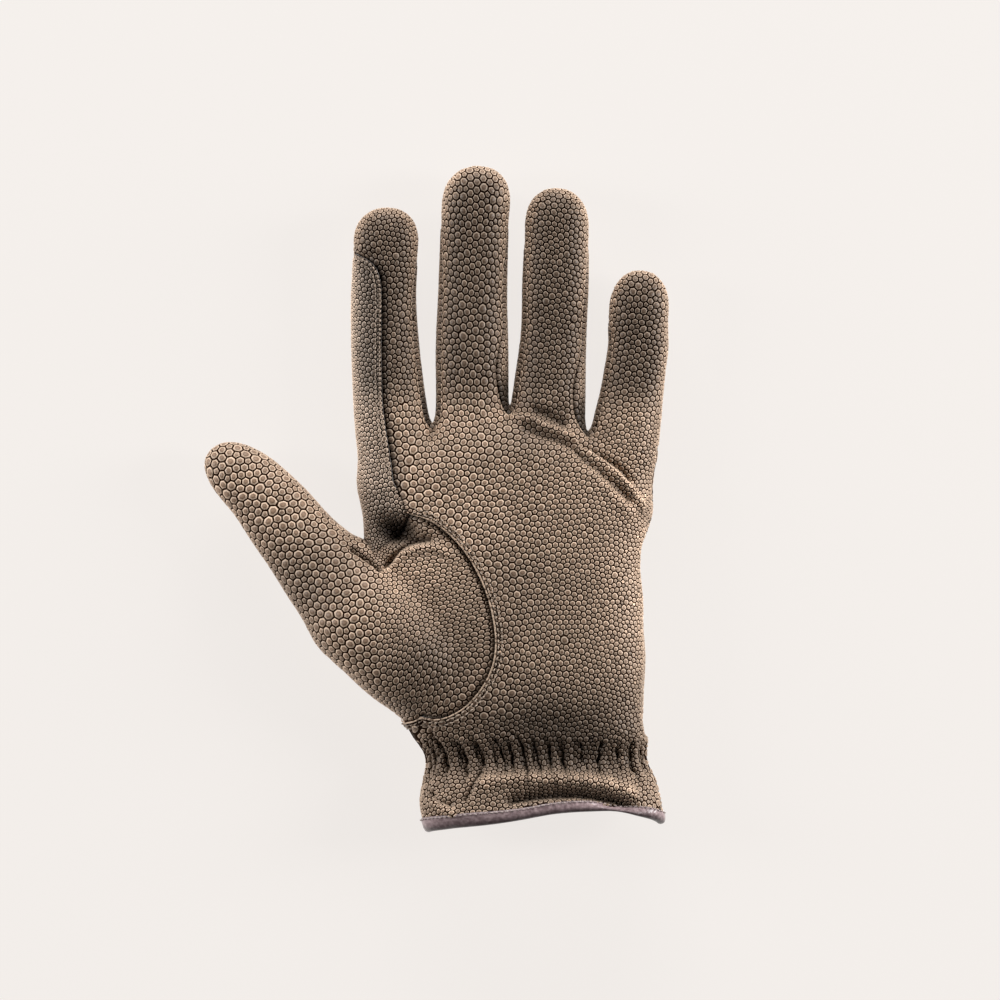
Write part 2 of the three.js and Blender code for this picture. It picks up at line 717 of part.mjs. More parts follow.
// A row through the gathers and the cuff: points evenly round the glove, so that each rib has its own
function gatheredRow(back, share, columns) {
  return Array.from({ length: columns + 1 }, (_, c) => {
    const t = c / columns;
    const across = mix(0.22, 1, t);
    const edge = atAlong(column(hem, "across", "level", across));
    const hemLevel = back ? mix(edge, atAlong(backHem), Math.sin(Math.PI * t)) : edge;
    const y = mix(hemLevel, atAlong(gatherTop), share);
    const seam = sideAngle(y);
    const turn = 2 * t - 1;
    const behind = (turn < 0 ? -Math.PI : Math.PI) - turn * (Math.PI - seam);
    return placeRound(y, back ? behind : turn * seam);
  });
}

const gatherTop = 0.225;
const bindingShare = bindingHeight / (palmLength * gatherTop);
const ribShares = [1, 0.94, 0.86, 0.78, 0.7, 0.62]; // rows through the gathers, from their top down
const cuffShares = [0.5, 0.34, 0.2, bindingShare, 0]; // rows from the gathers to the hem

// The palm and the back are made alike: four fingers, the body down to the gathers, then the cuff
function makeTrank(back) {
  const panel = new Panel();
  const tubes = fingerTubes.map((_, i) => {
    const base = fingerRow(i, back, 0);
    return { base, rows: [...fingerRows, 1].map((row) => fingerRow(i, back, row)) };
  });
  // The fingers' feet share the points of the crotches between them
  const foot = tubes.flatMap(({ base }, i) => (i ? base.slice(1) : base));
  const footIndex = panel.addRow(foot);
  tubes.forEach(({ rows }, i) => {
    let low = footIndex.slice(i * fingerColumns, (i + 1) * fingerColumns + 1);
    const caps = capRows.map((row) => capRow(i, back, row));
    for (const row of [...rows, ...caps]) {
      const high = panel.addRow(row);
      panel.join(low, high);
      low = high;
    }
  });
  const left = back ? [...backThumbSeam].reverse() : palmThumbSeam;
  const marks = [0, 1, 2, 3, 4].map((i) => foot[i * fingerColumns]);
  const spread = marks[4].x - marks[0].x;
  const shares = acrossShares(
    fingers.length * fingerColumns,
    marks.map((p) => (p.x - marks[0].x) / spread),
  );
  const bottomY = atAlong(gatherTop + 0.012);
  let high = footIndex;
  left.forEach((edge, k) => {
    const t = (k + 1) / left.length;
    const rightY = mix(foot[foot.length - 1].y, bottomY, t);
    const right = sidePoint(1, rightY);
    const bulge = (1 - t) * (crotchY - Math.max(edge.y, rightY)) * 0.35;
    const level = (s) => mix(edge.y, rightY, s) + bulge * Math.sin(Math.PI * s);
    const low = panel.addRow(bodyRow(edge, right, shares, back, level));
    panel.join(low, high);
    high = low;
  });
  let cuffRows = [];
  for (const share of [...ribShares, ...cuffShares]) {
    const columns = gatherRibs * (share >= ribShares[ribShares.length - 1] ? 2 : 1);
    const row = gatheredRow(back, share, columns);
    const low = panel.addRow(row, true);
    panel.join(low, high);
    high = low;
    cuffRows = [...cuffRows, low];
  }
  if (back) panel.triangles = panel.triangles.map(([a, b, c]) => [a, c, b]);
  panel.relax(4);
  return { panel, cuffRows };
}

// A fourchette runs down the side of one finger, through the crotch and up the next
function makeFourchette(i) {
  const panel = new Panel();
  const sideOf = (finger, side, row) => {
    const tube = fingerTubes[finger];
    const [top, bottom] = [false, true].map((back) => seamPoint(finger, side, back, row));
    const footAlong = tube.local(crotches[i].palm).along;
    const along = mix(footAlong, tube.capStart, row);
    const angles = [false, true].map((back) => fingerSeam(finger, side, back, row));
    return Array.from({ length: fourchetteColumns + 1 }, (_, c) => {
      const t = c / fourchetteColumns;
      if (c === 0) return top;
      if (c === fourchetteColumns) return bottom;
      const out = round(tube, along, mix(angles[0], angles[1], t));
      const inner = crotches[i].palm.clone().lerp(crotches[i].back, t);
      return settle(inner.setY(out.y).lerp(out, opening(along - footAlong)));
    });
  };
  const web = Array.from({ length: fourchetteColumns + 1 }, (_, c) => {
    const p = crotches[i].palm.clone().lerp(crotches[i].back, c / fourchetteColumns);
    return c === 0 ? crotches[i].palm : c === fourchetteColumns ? crotches[i].back : settle(p);
  });
  const rows = [
    ...fingerRows.map((row) => sideOf(i, 1, row)).reverse(),
    web,
    ...fingerRows.map((row) => sideOf(i + 1, -1, row)),
  ];
  let low = null;
  for (const row of rows) {
    const high = panel.addRow(row);
    if (low) panel.join(high, low);
    low = high;
  }
  panel.relax(6);
  return panel;
}

// The rein patch covers the index finger's outer side, from below the tip to the thumb's crotch
function makePatch() {
  const panel = new Panel();
  const tube = fingerTubes[0];
  const strip = [0, ...fingerRows].map((row) => {
    const [palmEdge, backEdge] = [false, true].map((back) => seamPoint(0, -1, back, row));
    const [from, to] = [false, true].map((back) => fingerSeam(0, -1, back, row));
    const along = mix(outerFoot[0] * tube.length, tube.capStart, row);
    return Array.from({ length: patchColumns + 1 }, (_, c) => {
      if (c === 0) return backEdge;
      if (c === patchColumns) return palmEdge;
      return settle(round(tube, along, mix(to, from, c / patchColumns)));
    });
  });
  const below = [0.33, 0.66].map((t) =>
    strip[0].map((p, c) => {
      const end = webEdge[webEdge.length - 1 - Math.round((c / patchColumns) * (webEdge.length - 1))];
      return settle(p.clone().lerp(end, t));
    }),
  );
  const all = [[...webEdge].reverse(), below[1], below[0], ...strip];
  let low = null;
  for (const row of all) {
    const high = panel.addRow(row);
    if (low) panel.join(low, high);
    low = high;
  }
  panel.relax(6);
  return panel;
}

// The thumb is one tube, from the seam round its base to the tip
function makeThumb() {
  const panel = new Panel();
  const loop = [...palmThumbSeam, ...backThumbSeam.slice(1), ...[...webEdge].reverse().slice(1)];
  const count = loop.length - 1;
  const webHalf = (webEdge.length - 1) / 2;
  const angleAt = (k) => {
    const web = radians(25);
    if (k <= sideRows) return mix(web, Math.PI, k / sideRows);
    if (k <= 2 * sideRows) return mix(Math.PI, 2 * Math.PI - web, (k - sideRows) / sideRows);
    return 2 * Math.PI - web + ((k - 2 * sideRows) / (2 * webHalf)) * 2 * web;
  };
  const rings = [0.12, 0.22, 0.31, 0.39, 0.47, 0.56, 0.65, 0.73, 0.8];
  let low = panel.addRow(loop.slice(0, count));
  const closed = (row) => [...row, row[0]];
  const addRing = (points) => {
    const high = panel.addRow(points);
    panel.join(closed(high), closed(low));
    low = high;
  };
  const alongOf = (p) => thumbTube.local(p).along / thumbTube.length;
  rings.forEach((share, n) => {
    const weight = ease((n + 1) / 4);
    const points = loop.slice(0, count).map((p, k) => {
      const angle = angleAt(k);
      const start = Math.min(alongOf(p), share);
      const at = mix(mix(start, share, (n + 1) / 4), share, weight);
      const ring = thumbTube.place(at * thumbTube.length, Math.cos(angle), Math.sin(angle));
      return settle(p.clone().lerp(ring, Math.min(1, (n + 1) / 3.5)));
    });
    addRing(points);
  });
  for (const polar of [20, 39, 56, 72]) {
    const [out, ahead] = [Math.cos(radians(polar)), Math.sin(radians(polar))];
    const points = Array.from({ length: count }, (_, k) => {
      const angle = angleAt(k);
      const along = thumbTube.capStart + ahead * thumbTube.tip;
      return settle(thumbTube.place(along, out * Math.cos(angle), out * Math.sin(angle)));
    });
    addRing(points);
  }
  const [pole] = panel.addRow([settle(thumbTube.place(thumbTube.length, 0, 0))]);
  low.forEach((a, k) => panel.triangles.push([a, low[(k + 1) % count], pole].reverse()));
  panel.relax(14);
  return panel;
}

// The binding is a strip folded over the hem: its section is a U round the edge of the leather
function makeBinding(palm, back) {
  const loopOf = (level) => {
    const rowOf = ({ panel, cuffRows }) => cuffRows[cuffRows.length - 1 - level].map((i) => panel.points[i]);
    return [...rowOf(palm), ...rowOf(back).slice(1, -1).reverse()];
  };
  const [edge, above] = [loopOf(0), loopOf(1)];
  const section = edge.map((p, i) => {
    const q = above[i];
    const [np, nq] = [outward(p), outward(q)];
    const raised = (point, normal) => point.clone().addScaledVector(normal, relief(point, normal));
    const [a, b] = [raised(p, np), raised(q, nq)];
    const down = a.clone().sub(b).normalize();
    const at = (point, normal, out, drop) =>
      point.clone().addScaledVector(normal, out).addScaledVector(down, drop);
    const [gap, thick, inside] = [bindingGap, bindingThickness, -wall - bindingGap];
    return [
      at(b, nq, gap, 0),
      at(b, nq, gap + thick * 0.6, 0),
      at(a, np, gap + thick, 0),
      at(a, np, gap * 0.5, gap + thick),
      at(a, np, inside - 0.5 * thick, gap + thick),
      at(a, np, inside - thick, 0),
      at(b, nq, inside - thick * 0.6, 0),
      at(b, nq, inside, 0),
      at(a, np, inside, gap),
      at(a, np, gap, gap),
    ];
  });
  const points = section.flat();
  const per = section[0].length;
  const faces = [];
  section.forEach((_, i) => {
    const j = (i + 1) % section.length;
    for (let k = 0; k < per; k++) {
      const l = (k + 1) % per;
      const [a, b, c, d] = [i * per + k, j * per + k, j * per + l, i * per + l];
      faces.push(a, c, b, a, d, c);
    }
  });
  return makeGeometry(points, faces);
}

const leather = { color: 0x7a6757, roughness: 0.62, metalness: 0 };
const materials = {
  leather: new THREE.MeshStandardMaterial(leather),
  patch: new THREE.MeshStandardMaterial({ ...leather, color: 0x75634f }),
  binding: new THREE.MeshStandardMaterial({ color: 0x6e5f60, roughness: 0.55, metalness: 0 }),
};

const glove = new THREE.Group();
function add(name, geometry, material) {
  const mesh = new THREE.Mesh(geometry, material);
  mesh.name = name;
  glove.add(mesh);
}

const palm = makeTrank(false);
const backSide = makeTrank(true);
add("palm", palm.panel.thicken(), materials.leather);
add("back", backSide.panel.thicken(), materials.leather);
add("thumb", makeThumb().thicken(), materials.leather);
add("rein_patch", makePatch().thicken(), materials.patch);
["index_middle", "middle_ring", "ring_little"].forEach((name, i) =>
  add(`fourchette_${name}`, makeFourchette(i).thicken(), materials.leather),
);
add("binding", makeBinding(palm, backSide), materials.binding);

// The origin is under the middle of the glove, on the floor
const box = new THREE.Box3().setFromObject(glove);
const middle = box.getCenter(new THREE.Vector3());
glove.position.set(-middle.x, -middle.y, -box.min.z);

export default glove;
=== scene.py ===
import math

import bpy
import numpy as np
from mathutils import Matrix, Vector
from mathutils.bvhtree import BVHTree
from mathutils.geometry import delaunay_2d_cdt
from mathutils.kdtree import KDTree


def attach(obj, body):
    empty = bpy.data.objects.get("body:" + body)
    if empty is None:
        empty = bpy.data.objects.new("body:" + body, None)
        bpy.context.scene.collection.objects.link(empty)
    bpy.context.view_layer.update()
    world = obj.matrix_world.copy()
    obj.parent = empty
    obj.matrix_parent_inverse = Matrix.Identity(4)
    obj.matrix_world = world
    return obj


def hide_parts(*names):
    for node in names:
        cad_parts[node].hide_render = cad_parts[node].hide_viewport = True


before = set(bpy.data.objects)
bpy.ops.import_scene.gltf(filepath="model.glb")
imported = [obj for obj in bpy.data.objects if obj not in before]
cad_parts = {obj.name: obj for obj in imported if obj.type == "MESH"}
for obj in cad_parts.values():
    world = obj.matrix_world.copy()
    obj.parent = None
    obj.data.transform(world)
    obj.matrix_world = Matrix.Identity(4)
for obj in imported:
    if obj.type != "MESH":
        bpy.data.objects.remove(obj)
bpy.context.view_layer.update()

# Camera, floor and light. The glove lies palm up on a pale floor and is seen from straight above through
# a long lens, with the fingertips at the top of the picture.
bpy.ops.object.select_all(action="DESELECT")
picture_width = 0.325
lens = 250.0
sensor = 36.0
looked_at = Vector((0.0205, -0.0003, 0.012))
bpy.ops.object.camera_add(
    location=looked_at + Vector((0, 0, picture_width * lens / sensor)), rotation=(0, 0, 0)
)
camera = bpy.context.object
camera.data.lens = lens
camera.data.sensor_width = sensor
camera.data.clip_end = 20
bpy.context.scene.camera = camera

bpy.ops.mesh.primitive_plane_add(size=6, location=(0, 0, -0.0004))
floor = bpy.context.object
floor.name = "floor"
floor_finish = bpy.data.materials.new("pale_floor")
floor_finish.use_nodes = True
floor_shader = floor_finish.node_tree.nodes["Principled BSDF"]
floor_shader.inputs["Base Color"].default_value = (0.1, 0.096, 0.092, 1)
floor_shader.inputs["Roughness"].default_value = 0.9
floor_shader.inputs["Specular IOR Level"].default_value = 0.0
floor_shader.inputs["Emission Color"].default_value = (0.896, 0.855, 0.823, 1)
floor_shader.inputs["Emission Strength"].default_value = 0.91
floor.data.materials.append(floor_finish)


def soft_light(name, place, size, power, colour=(1, 1, 1)):
    bpy.ops.object.light_add(type="AREA", location=place)
    light = bpy.context.object
    light.name = name
    light.data.shape = "RECTANGLE"
    light.data.size, light.data.size_y = size
    light.data.energy = power
    light.data.color = colour
    light.rotation_euler = (-Vector(place)).to_track_quat("-Z", "Y").to_euler()


soft_light("left_softbox", (-1.3, 0.2, 0.22), (0.3, 1.4), 23)
soft_light("right_softbox", (1.3, 0.2, 0.22), (0.3, 1.4), 31)
soft_light("top_softbox", (0, 1.5, 0.5), (1.2, 0.5), 24)
world = bpy.data.worlds.new("studio")
world.use_nodes = True
world.node_tree.nodes["Background"].inputs[0].default_value = (1, 0.985, 0.97, 1)
world.node_tree.nodes["Background"].inputs[1].default_value = 0.05
bpy.context.scene.world = world
bpy.context.scene.view_settings.view_transform = "Standard"

# Palm. One panel of thin embossed leather: the palm side of the hand, of the four fingers and of the
# cuff. It is sewn to the back, the fourchettes and the rein patch, and its edge laps over the thumb.
# The glove's shape is a distance field in millimetres, and every panel is laid on that shape.
wall = 1.2
seam_gap = 0.16
palm_length = 139.4
palm_thickness = 30.0
finger_spacing = 1.4
floor_press = 1.0
moved = np.array([0.494, -0.337, 0.0])


def curve(rows, column):
    """A smooth curve through one column of a table, against its first column."""
    place = np.array([row[0] for row in rows], float)
    value = np.array([row[column] for row in rows], float)
    slopes = np.empty_like(value)
    slopes[1:-1] = (value[2:] - value[:-2]) / (place[2:] - place[:-2])
    slopes[0] = (value[1] - value[0]) / (place[1] - place[0])
    slopes[-1] = (value[-1] - value[-2]) / (place[-1] - place[-2])

    def at(where):
        where = np.clip(where, place[0], place[-1])
        i = np.clip(np.searchsorted(place, where, side="right") - 1, 0, len(place) - 2)
        span = place[i + 1] - place[i]
        t = (where - place[i]) / span
        t2, t3 = t * t, t * t * t
        return (
            value[i] * (2 * t3 - 3 * t2 + 1)
            + slopes[i] * span * (t3 - 2 * t2 + t)
            + value[i + 1] * (3 * t2 - 2 * t3)
            + slopes[i + 1] * span * (t3 - t2)
        )

    return at


def ease(t):
    t = np.clip(t, 0, 1)
    return t * t * (3 - 2 * t)


def mix(a, b, t):
    return a + (b - a) * t


def points(x, y, z):
    return np.stack(np.broadcast_arrays(x, y, z), axis=-1).astype(float)


class Tube:
    """A finger or the thumb: sections on a straight axis, with a rounded end."""

    def __init__(self, x, y, lean, length, tip, half_width, half_depth, sway, lift):
        self.x, self.y, self.length, self.tip = x, y, length, tip
        self.dx, self.dy = math.sin(math.radians(lean)), math.cos(math.radians(lean))
        self.half_width, self.half_depth, self.sway, self.lift = half_width, half_depth, sway, lift
        self.cap_start = length - tip

    def local(self, p):
        rx, ry = p[..., 0] - self.x, p[..., 1] - self.y
        along = rx * self.dx + ry * self.dy
        return along, rx * self.dy - ry * self.dx - self.sway(along / self.length)

    def place(self, along, side, height):
        share = along / self.length
        across = self.sway(share) + side * self.half_width(share)
        return points(
            self.x + self.dx * along + self.dy * across,
            self.y + self.dy * along - self.dx * across,
            self.lift(share) + height * self.half_depth(share),
        )

    def round(self, along, angle):
        return self.place(along, np.sin(angle), np.cos(angle))


# name, width, length, depth, tip, lean, root, curl, and sections of along, wide, sway
finger_sizes = [
    ("index", 24, 71, 0.86, 11, -1.6, -7, 4.5,
     [(-0.4, 1.0, 0.05), (0.0, 1.0, 0.0), (0.15, 0.96, -0.035), (0.37, 0.905, -0.068), (0.59, 0.865, -0.072),
      (0.81, 0.865, -0.025), (1.0, 0.86, 0.0)]),
    ("middle", 23.7, 79.5, 0.87, 12.4, 1.6, -2, 5,
     [(-0.4, 1.0, 0.0), (0.0, 0.98, 0.025), (0.27, 0.98, 0.0), (0.465, 0.935, -0.01), (0.66, 0.92, -0.01),
      (0.81, 0.92, -0.004), (1.0, 0.92, 0.025)]),
    ("ring", 24, 73.4, 0.86, 12, 2.4, -3, 4.5,
     [(-0.4, 1.0, 0.0), (0.0, 1.0, 0.0), (0.146, 0.95, 0.012), (0.36, 0.875, 0.034), (0.57, 0.885, 0.03),
      (0.78, 0.86, 0.02), (1.0, 0.83, 0.0)]),
    ("little", 22.4, 57, 0.84, 13, 5.4, -13, 4,
     [(-0.4, 1.02, 0.0), (0.0, 1.0, 0.0), (0.16, 0.955, 0.025), (0.295, 0.9, 0.05), (0.43, 0.87, 0.065),
      (0.57, 0.86, 0.08), (0.705, 0.86, 0.045), (1.0, 0.84, 0.035)]),
]
palm_width = sum(size[1] for size in finger_sizes) + 3 * finger_spacing
palm_axis = 22.2
outer_x = palm_axis - palm_width / 2
hem_y = -108.5
crotch_y = hem_y + palm_length


def at_across(share):
    return outer_x + share * palm_width


def at_along(share):
    return hem_y + share * palm_length


def at_share(y):
    return (y - hem_y) / palm_length


finger_tubes = []
root_x = outer_x
for name, width, length, depth, tip, lean, root, curl, sections in finger_sizes:
    half_width = (lambda wide, w: lambda share: w / 2 * wide(share))(curve(sections, 1), width)
    half_depth = (lambda half, d: lambda share: d * half(share))(half_width, depth)
    sway = (lambda bend, w: lambda share: w * bend(share))(curve(sections, 2), width)
    lift = (lambda deep, c: lambda share: deep(share) - floor_press + c * np.maximum(share, 0) ** 2)(
        half_depth, curl
    )
    finger_tubes.append(
        Tube(root_x + width / 2, crotch_y + root, lean, length, tip, half_width, half_depth, sway, lift)
    )
    root_x += width + finger_spacing

thumb_width = 34.0
# along, wide, sway, deep, lift
thumb_sections = [
    (-0.3, 0.9, 0.05, 0.9, 0.56), (-0.03, 0.985, 0.01, 0.98, 0.57), (0.11, 1.01, 0.0, 1.0, 0.56),
    (0.23, 0.99, -0.026, 0.94, 0.54), (0.33, 0.9, 0.0, 0.84, 0.49), (0.43, 0.825, 0.012, 0.76, 0.45),
    (0.55, 0.745, 0.035, 0.7, 0.42), (0.67, 0.7, 0.065, 0.65, 0.405), (0.8, 0.62, 0.082, 0.58, 0.4),
    (1.0, 0.6, 0.035, 0.5, 0.41),
]
thumb_wide, thumb_sway, thumb_deep, thumb_lift = [curve(thumb_sections, i) for i in (1, 2, 3, 4)]
thumb_tube = Tube(
    palm_axis - 0.348 * palm_width, at_along(0.42), -43.6, 90.5, 20.0,
    lambda share: thumb_width / 2 * thumb_wide(share),
    lambda share: palm_thickness / 2 * thumb_deep(share),
    lambda share: thumb_width * thumb_sway(share),
    lambda share: palm_thickness * thumb_lift(share),
)

# along, half, shift, top, bottom
palm_sections = [
    (-0.05, 0.4, 0.129, 1.02, 0.045), (0.011, 0.398, 0.127, 1.0, 0.045), (0.077, 0.397, 0.112, 0.98, 0.045),
    (0.133, 0.381, 0.108, 0.91, 0.055), (0.179, 0.372, 0.096, 0.87, 0.065), (0.217, 0.386, 0.082, 0.92, 0.02),
    (0.273, 0.395, 0.057, 0.953, -0.04), (0.329, 0.402, 0.052, 0.95, -0.07),
    (0.412, 0.414, 0.045, 0.933, -0.083), (0.496, 0.4255, 0.025, 0.917, -0.083),
    (0.58, 0.4415, 0.012, 0.9, -0.083), (0.664, 0.456, -0.008, 0.877, -0.083),
    (0.748, 0.47, -0.003, 0.85, -0.083), (0.832, 0.4775, 0.0, 0.817, -0.08),
    (0.915, 0.48, 0.0, 0.767, -0.075), (1.1, 0.48, 0.0, 0.68, -0.06),
]
palm_half, palm_shift, palm_rise, palm_sink = [curve(palm_sections, i) for i in (1, 2, 3, 4)]
palm_top = curve(
    [(-0.1, 0.885), (0.1, 0.9), (0.25, 0.942), (0.38, 0.955), (0.505, 0.967), (0.63, 0.946), (0.765, 0.927),
     (0.9, 0.85), (1.1, 0.8)], 1,
)
hem = curve(
    [(0.0, 0.012), (0.228, 0.014), (0.31, 0.02), (0.397, 0.03), (0.47, 0.0375), (0.545, 0.0465),
     (0.66, 0.061), (0.777, 0.0655), (0.86, 0.0545), (0.909, 0.0445), (0.96, 0.035), (1.008, 0.032),
     (1.1, 0.03)], 1,
)
back_hem = 0.08


def body_at(y):
    along = at_share(y)
    top, bottom = palm_thickness * palm_rise(along), palm_thickness * palm_sink(along)
    middle = palm_axis + palm_width * palm_shift(along)
    return middle, palm_width * palm_half(along), (top + bottom) / 2, (top - bottom) / 2


roundness, palm_roundness = 2.25, 2.5
palm_end, root_reach = 14.0, 24.0
finger_fillet, palm_fillet, thumb_fillet, floor_fillet = 0.8, 6.0, 3.5, 1.5


def tube_field(tube, p):
    along, side = tube.local(p)
    share = np.clip(along / tube.length, -0.4, 1)
    wide, deep = tube.half_width(share), tube.half_depth(share)
    past = np.maximum(along - tube.cap_start, 0) / tube.tip + np.maximum(-along, 0) / root_reach
    high = (p[..., 2] - tube.lift(share)) / deep
    r = (np.abs(side / wide) ** roundness + np.abs(high) ** roundness + past ** roundness) ** (1 / roundness)
    return (r - 1) * np.minimum(wide, deep)


def body_field(p):
    middle, half, height, deep = body_at(p[..., 1])
    top = at_along(palm_top(np.clip((p[..., 0] - outer_x) / palm_width, -0.1, 1.1)))
    past = np.maximum(p[..., 1] - top + palm_end, 0) / palm_end
    side, up = np.abs((p[..., 0] - middle) / half), np.abs((p[..., 2] - height) / deep)
    n = palm_roundness
    r = (side ** n + up ** n + past ** n) ** (1 / n)
    return (r - 1) * deep


def blend(a, b, k):
    h = np.maximum(k - np.abs(a - b), 0) / k
    return np.minimum(a, b) - h * h * k / 4


def hand_field(p):
    apart = tube_field(finger_tubes[0], p)
    for tube in finger_tubes[1:]:
        apart = blend(apart, tube_field(tube, p), finger_fillet)
    return blend(apart, body_field(p), palm_fillet)


def thumb_field(p):
    return tube_field(thumb_tube, p)


def field(p):
    hand = blend(hand_field(p), thumb_field(p), thumb_fillet)
    return -blend(-hand, p[..., 2], floor_fillet)


def slope(p, of=field, here=None):
    here = of(p) if here is None else here
    g = np.empty_like(p)
    nudge = 0.005
    for axis in range(3):
        q = p.copy()
        q[..., axis] += nudge
        g[..., axis] = (of(q) - here) / nudge
    return g


def stepped(p, of, most):
    d = of(p)
    g = slope(p, of, d)
    move = np.clip(d / np.maximum((g * g).sum(-1), 0.05), -most, most)
    return p - g * move[..., None]


def settle(p, times=8):
    """Moves points onto the glove's shape."""
    p = np.array(p, float)
    for _ in range(times):
        p = stepped(p, field, 3)
    p[..., 2] = np.where(np.abs(p[..., 2]) < 2e-3, 0, p[..., 2])
    return p


def unit(v):
    return v / np.maximum(np.linalg.norm(v, axis=-1, keepdims=True), 1e-9)


def angle_from(side, height, half, deep):
    return np.arctan2(side * np.sqrt(half), height * np.sqrt(deep))


def place_round(y, angle):
    middle, half, height, deep = body_at(y)
    side, up = np.sin(angle) / np.sqrt(half), np.cos(angle) / np.sqrt(deep)
    size = (np.abs(side) ** palm_roundness + np.abs(up) ** palm_roundness) ** (1 / palm_roundness)
    return settle(points(middle + side / size * half, y, height + up / size * deep))


side_height = curve(
    [(0.0, -0.12), (0.2, -0.25), (0.27, -0.15), (0.3, 0.12), (0.4, 0.16), (0.48, 0.1), (0.54, -0.2),
     (0.8, -0.25), (1.1, -0.25)], 1,
)


def side_angle(y):
    height = side_height(at_share(y))
    half, deep = body_at(y)[1::2]
    return angle_from((1 - np.abs(height) ** palm_roundness) ** (1 / palm_roundness), height, half, deep)


def side_point(side, y):
    return place_round(y, side * side_angle(y))


def drawn(shares, count, back=False):
    """Evenly spaced points on the glove along a smooth curve through shares of the palm's size."""
    p = [np.array([at_across(a), at_along(b), 0.0 if back else palm_thickness]) for a, b in shares]
    p = [2 * p[0] - p[1]] + p + [2 * p[-1] - p[-2]]
    line = []
    for p0, p1, p2, p3 in zip(p, p[1:], p[2:], p[3:]):
        d0, d1, d2 = [np.sqrt(np.linalg.norm(b - a)) for a, b in ((p0, p1), (p1, p2), (p2, p3))]
        m1 = ((p1 - p0) / d0 - (p2 - p0) / (d0 + d1) + (p2 - p1) / d1) * d1
        m2 = ((p2 - p1) / d1 - (p3 - p1) / (d1 + d2) + (p3 - p2) / d2) * d1
        t = np.linspace(0, 1, 24, endpoint=False)[:, None]
        line.append(
            p1 * (2 * t**3 - 3 * t**2 + 1)
            + m1 * (t**3 - 2 * t**2 + t)
            + p2 * (3 * t**2 - 2 * t**3)
            + m2 * (t**3 - t**2)
        )
    line = np.vstack(line + [p[-2][None]])
    return settle(spaced(line, count))


def spaced(line, count):
    """Resamples a line of points to count equal steps."""
    steps = np.concatenate([[0], np.cumsum(np.linalg.norm(np.diff(line, axis=0), axis=1))])
    where = np.linspace(0, steps[-1], count + 1)
    return np.stack([np.interp(where, steps, line[:, i]) for i in range(line.shape[1])], axis=1)


finger_steps, cap_steps, side_steps = 26, 8, 60
near_edge = np.array([0.0, 0.018, 0.045, 0.08])
columns = np.concatenate([near_edge, np.linspace(0.12, 0.88, 14), 1 - near_edge[::-1]])
thumb_seam_palm = drawn(
    [(0.165, 0.75), (0.248, 0.732), (0.347, 0.673), (0.43, 0.569), (0.463, 0.452), (0.446, 0.382),
     (0.38, 0.312), (0.281, 0.265), (0.188, 0.254)], side_steps,
)
thumb_seam_back = drawn(
    [(0.19, 0.254), (0.2, 0.28), (0.215, 0.35), (0.222, 0.43), (0.215, 0.51), (0.19, 0.58),
     (0.14, 0.63), (0.08, 0.66)], side_steps, back=True,
)
thumb_seam_palm[-1] = side_point(-1, thumb_seam_palm[-1][1])
thumb_seam_back[0] = thumb_seam_palm[-1]


def in_crease(p):
    for _ in range(20):
        p = stepped(p, hand_field, 2)
        p = stepped(p, thumb_field, 2)
    return settle(p)


web_levels = np.linspace(0.74, 0.22, 15) * palm_thickness
web_middle = in_crease(points(at_across(0.06), at_along(0.66), web_levels))
web_edge = np.vstack([thumb_seam_palm[:1], web_middle, thumb_seam_back[-1:]])
web_edge = settle(spaced(web_edge, 30))
web_edge[0], web_edge[-1] = thumb_seam_palm[0], thumb_seam_back[-1]

# row, palm, back, patch at the back, outer
seam_angles = [
    (0, 62, 118, 118, 100), (0.5, 62, 118, 118, 100), (0.7, 66, 114, 114, 98), (0.8, 74, 106, 108, 95),
    (0.88, 81, 99, 102, 93), (0.95, 86.5, 93.5, 95, 91), (1, 90, 90, 90, 90),
]
patch_angles = [
    (0, 2), (0.15, 8), (0.3, 11), (0.5, 7), (0.7, 2.5), (0.78, 2.5), (0.84, 6), (0.89, 15), (0.925, 31),
    (0.945, 55), (0.955, 80), (1, 90),
]


def finger_seam(i, side, back, row):
    if i == 0 and side < 0 and not back:
        return -np.radians(curve(patch_angles, 1)(row))
    column = 4 if side > 0 and i == 3 else 3 if side < 0 and i == 0 else (2 if back else 1)
    angle = curve(seam_angles, column)(row)
    if side > 0 and i in (1, 2) and not back:
        angle = angle - 20 * np.sin(np.pi * np.clip(row / 0.4, 0, 1))
    return side * np.radians(angle)


def crotch(i, back):
    a, b = finger_tubes[i], finger_tubes[i + 1]
    angle = finger_seam(i, 1, back, 0)
    height = (a.round(0, angle)[2] + b.round(0, -angle)[2]) / 2
    x = (a.round(0, math.pi / 2)[0] + b.round(0, -math.pi / 2)[0]) / 2
    return settle(points(x, at_along(palm_top((x - outer_x) / palm_width)), height))


crotches = [{back: crotch(i, back) for back in (False, True)} for i in range(3)]
outer_foot = {0: -0.25, 3: 0.02}


def opening(height):
    return np.sqrt(1 - np.clip(1 - height / 5, 0, 1) ** 2)


def seam_points(i, side, back, rows):
    """One seam of a finger, from its foot to where the rounded end begins."""
    tube = finger_tubes[i]
    k = i if side > 0 else i - 1
    foot = crotches[k][back] if 0 <= k < 3 else None
    foot_along = tube.local(foot)[0] if foot is not None else outer_foot[i] * tube.length
    along = mix(foot_along, tube.cap_start, rows)
    p = tube.round(along, finger_seam(i, side, back, rows))
    if foot is None:
        return settle(p)
    start = points(foot[0], p[:, 1], foot[2])
    return settle(mix(start, p, opening(along - foot_along)[:, None]))


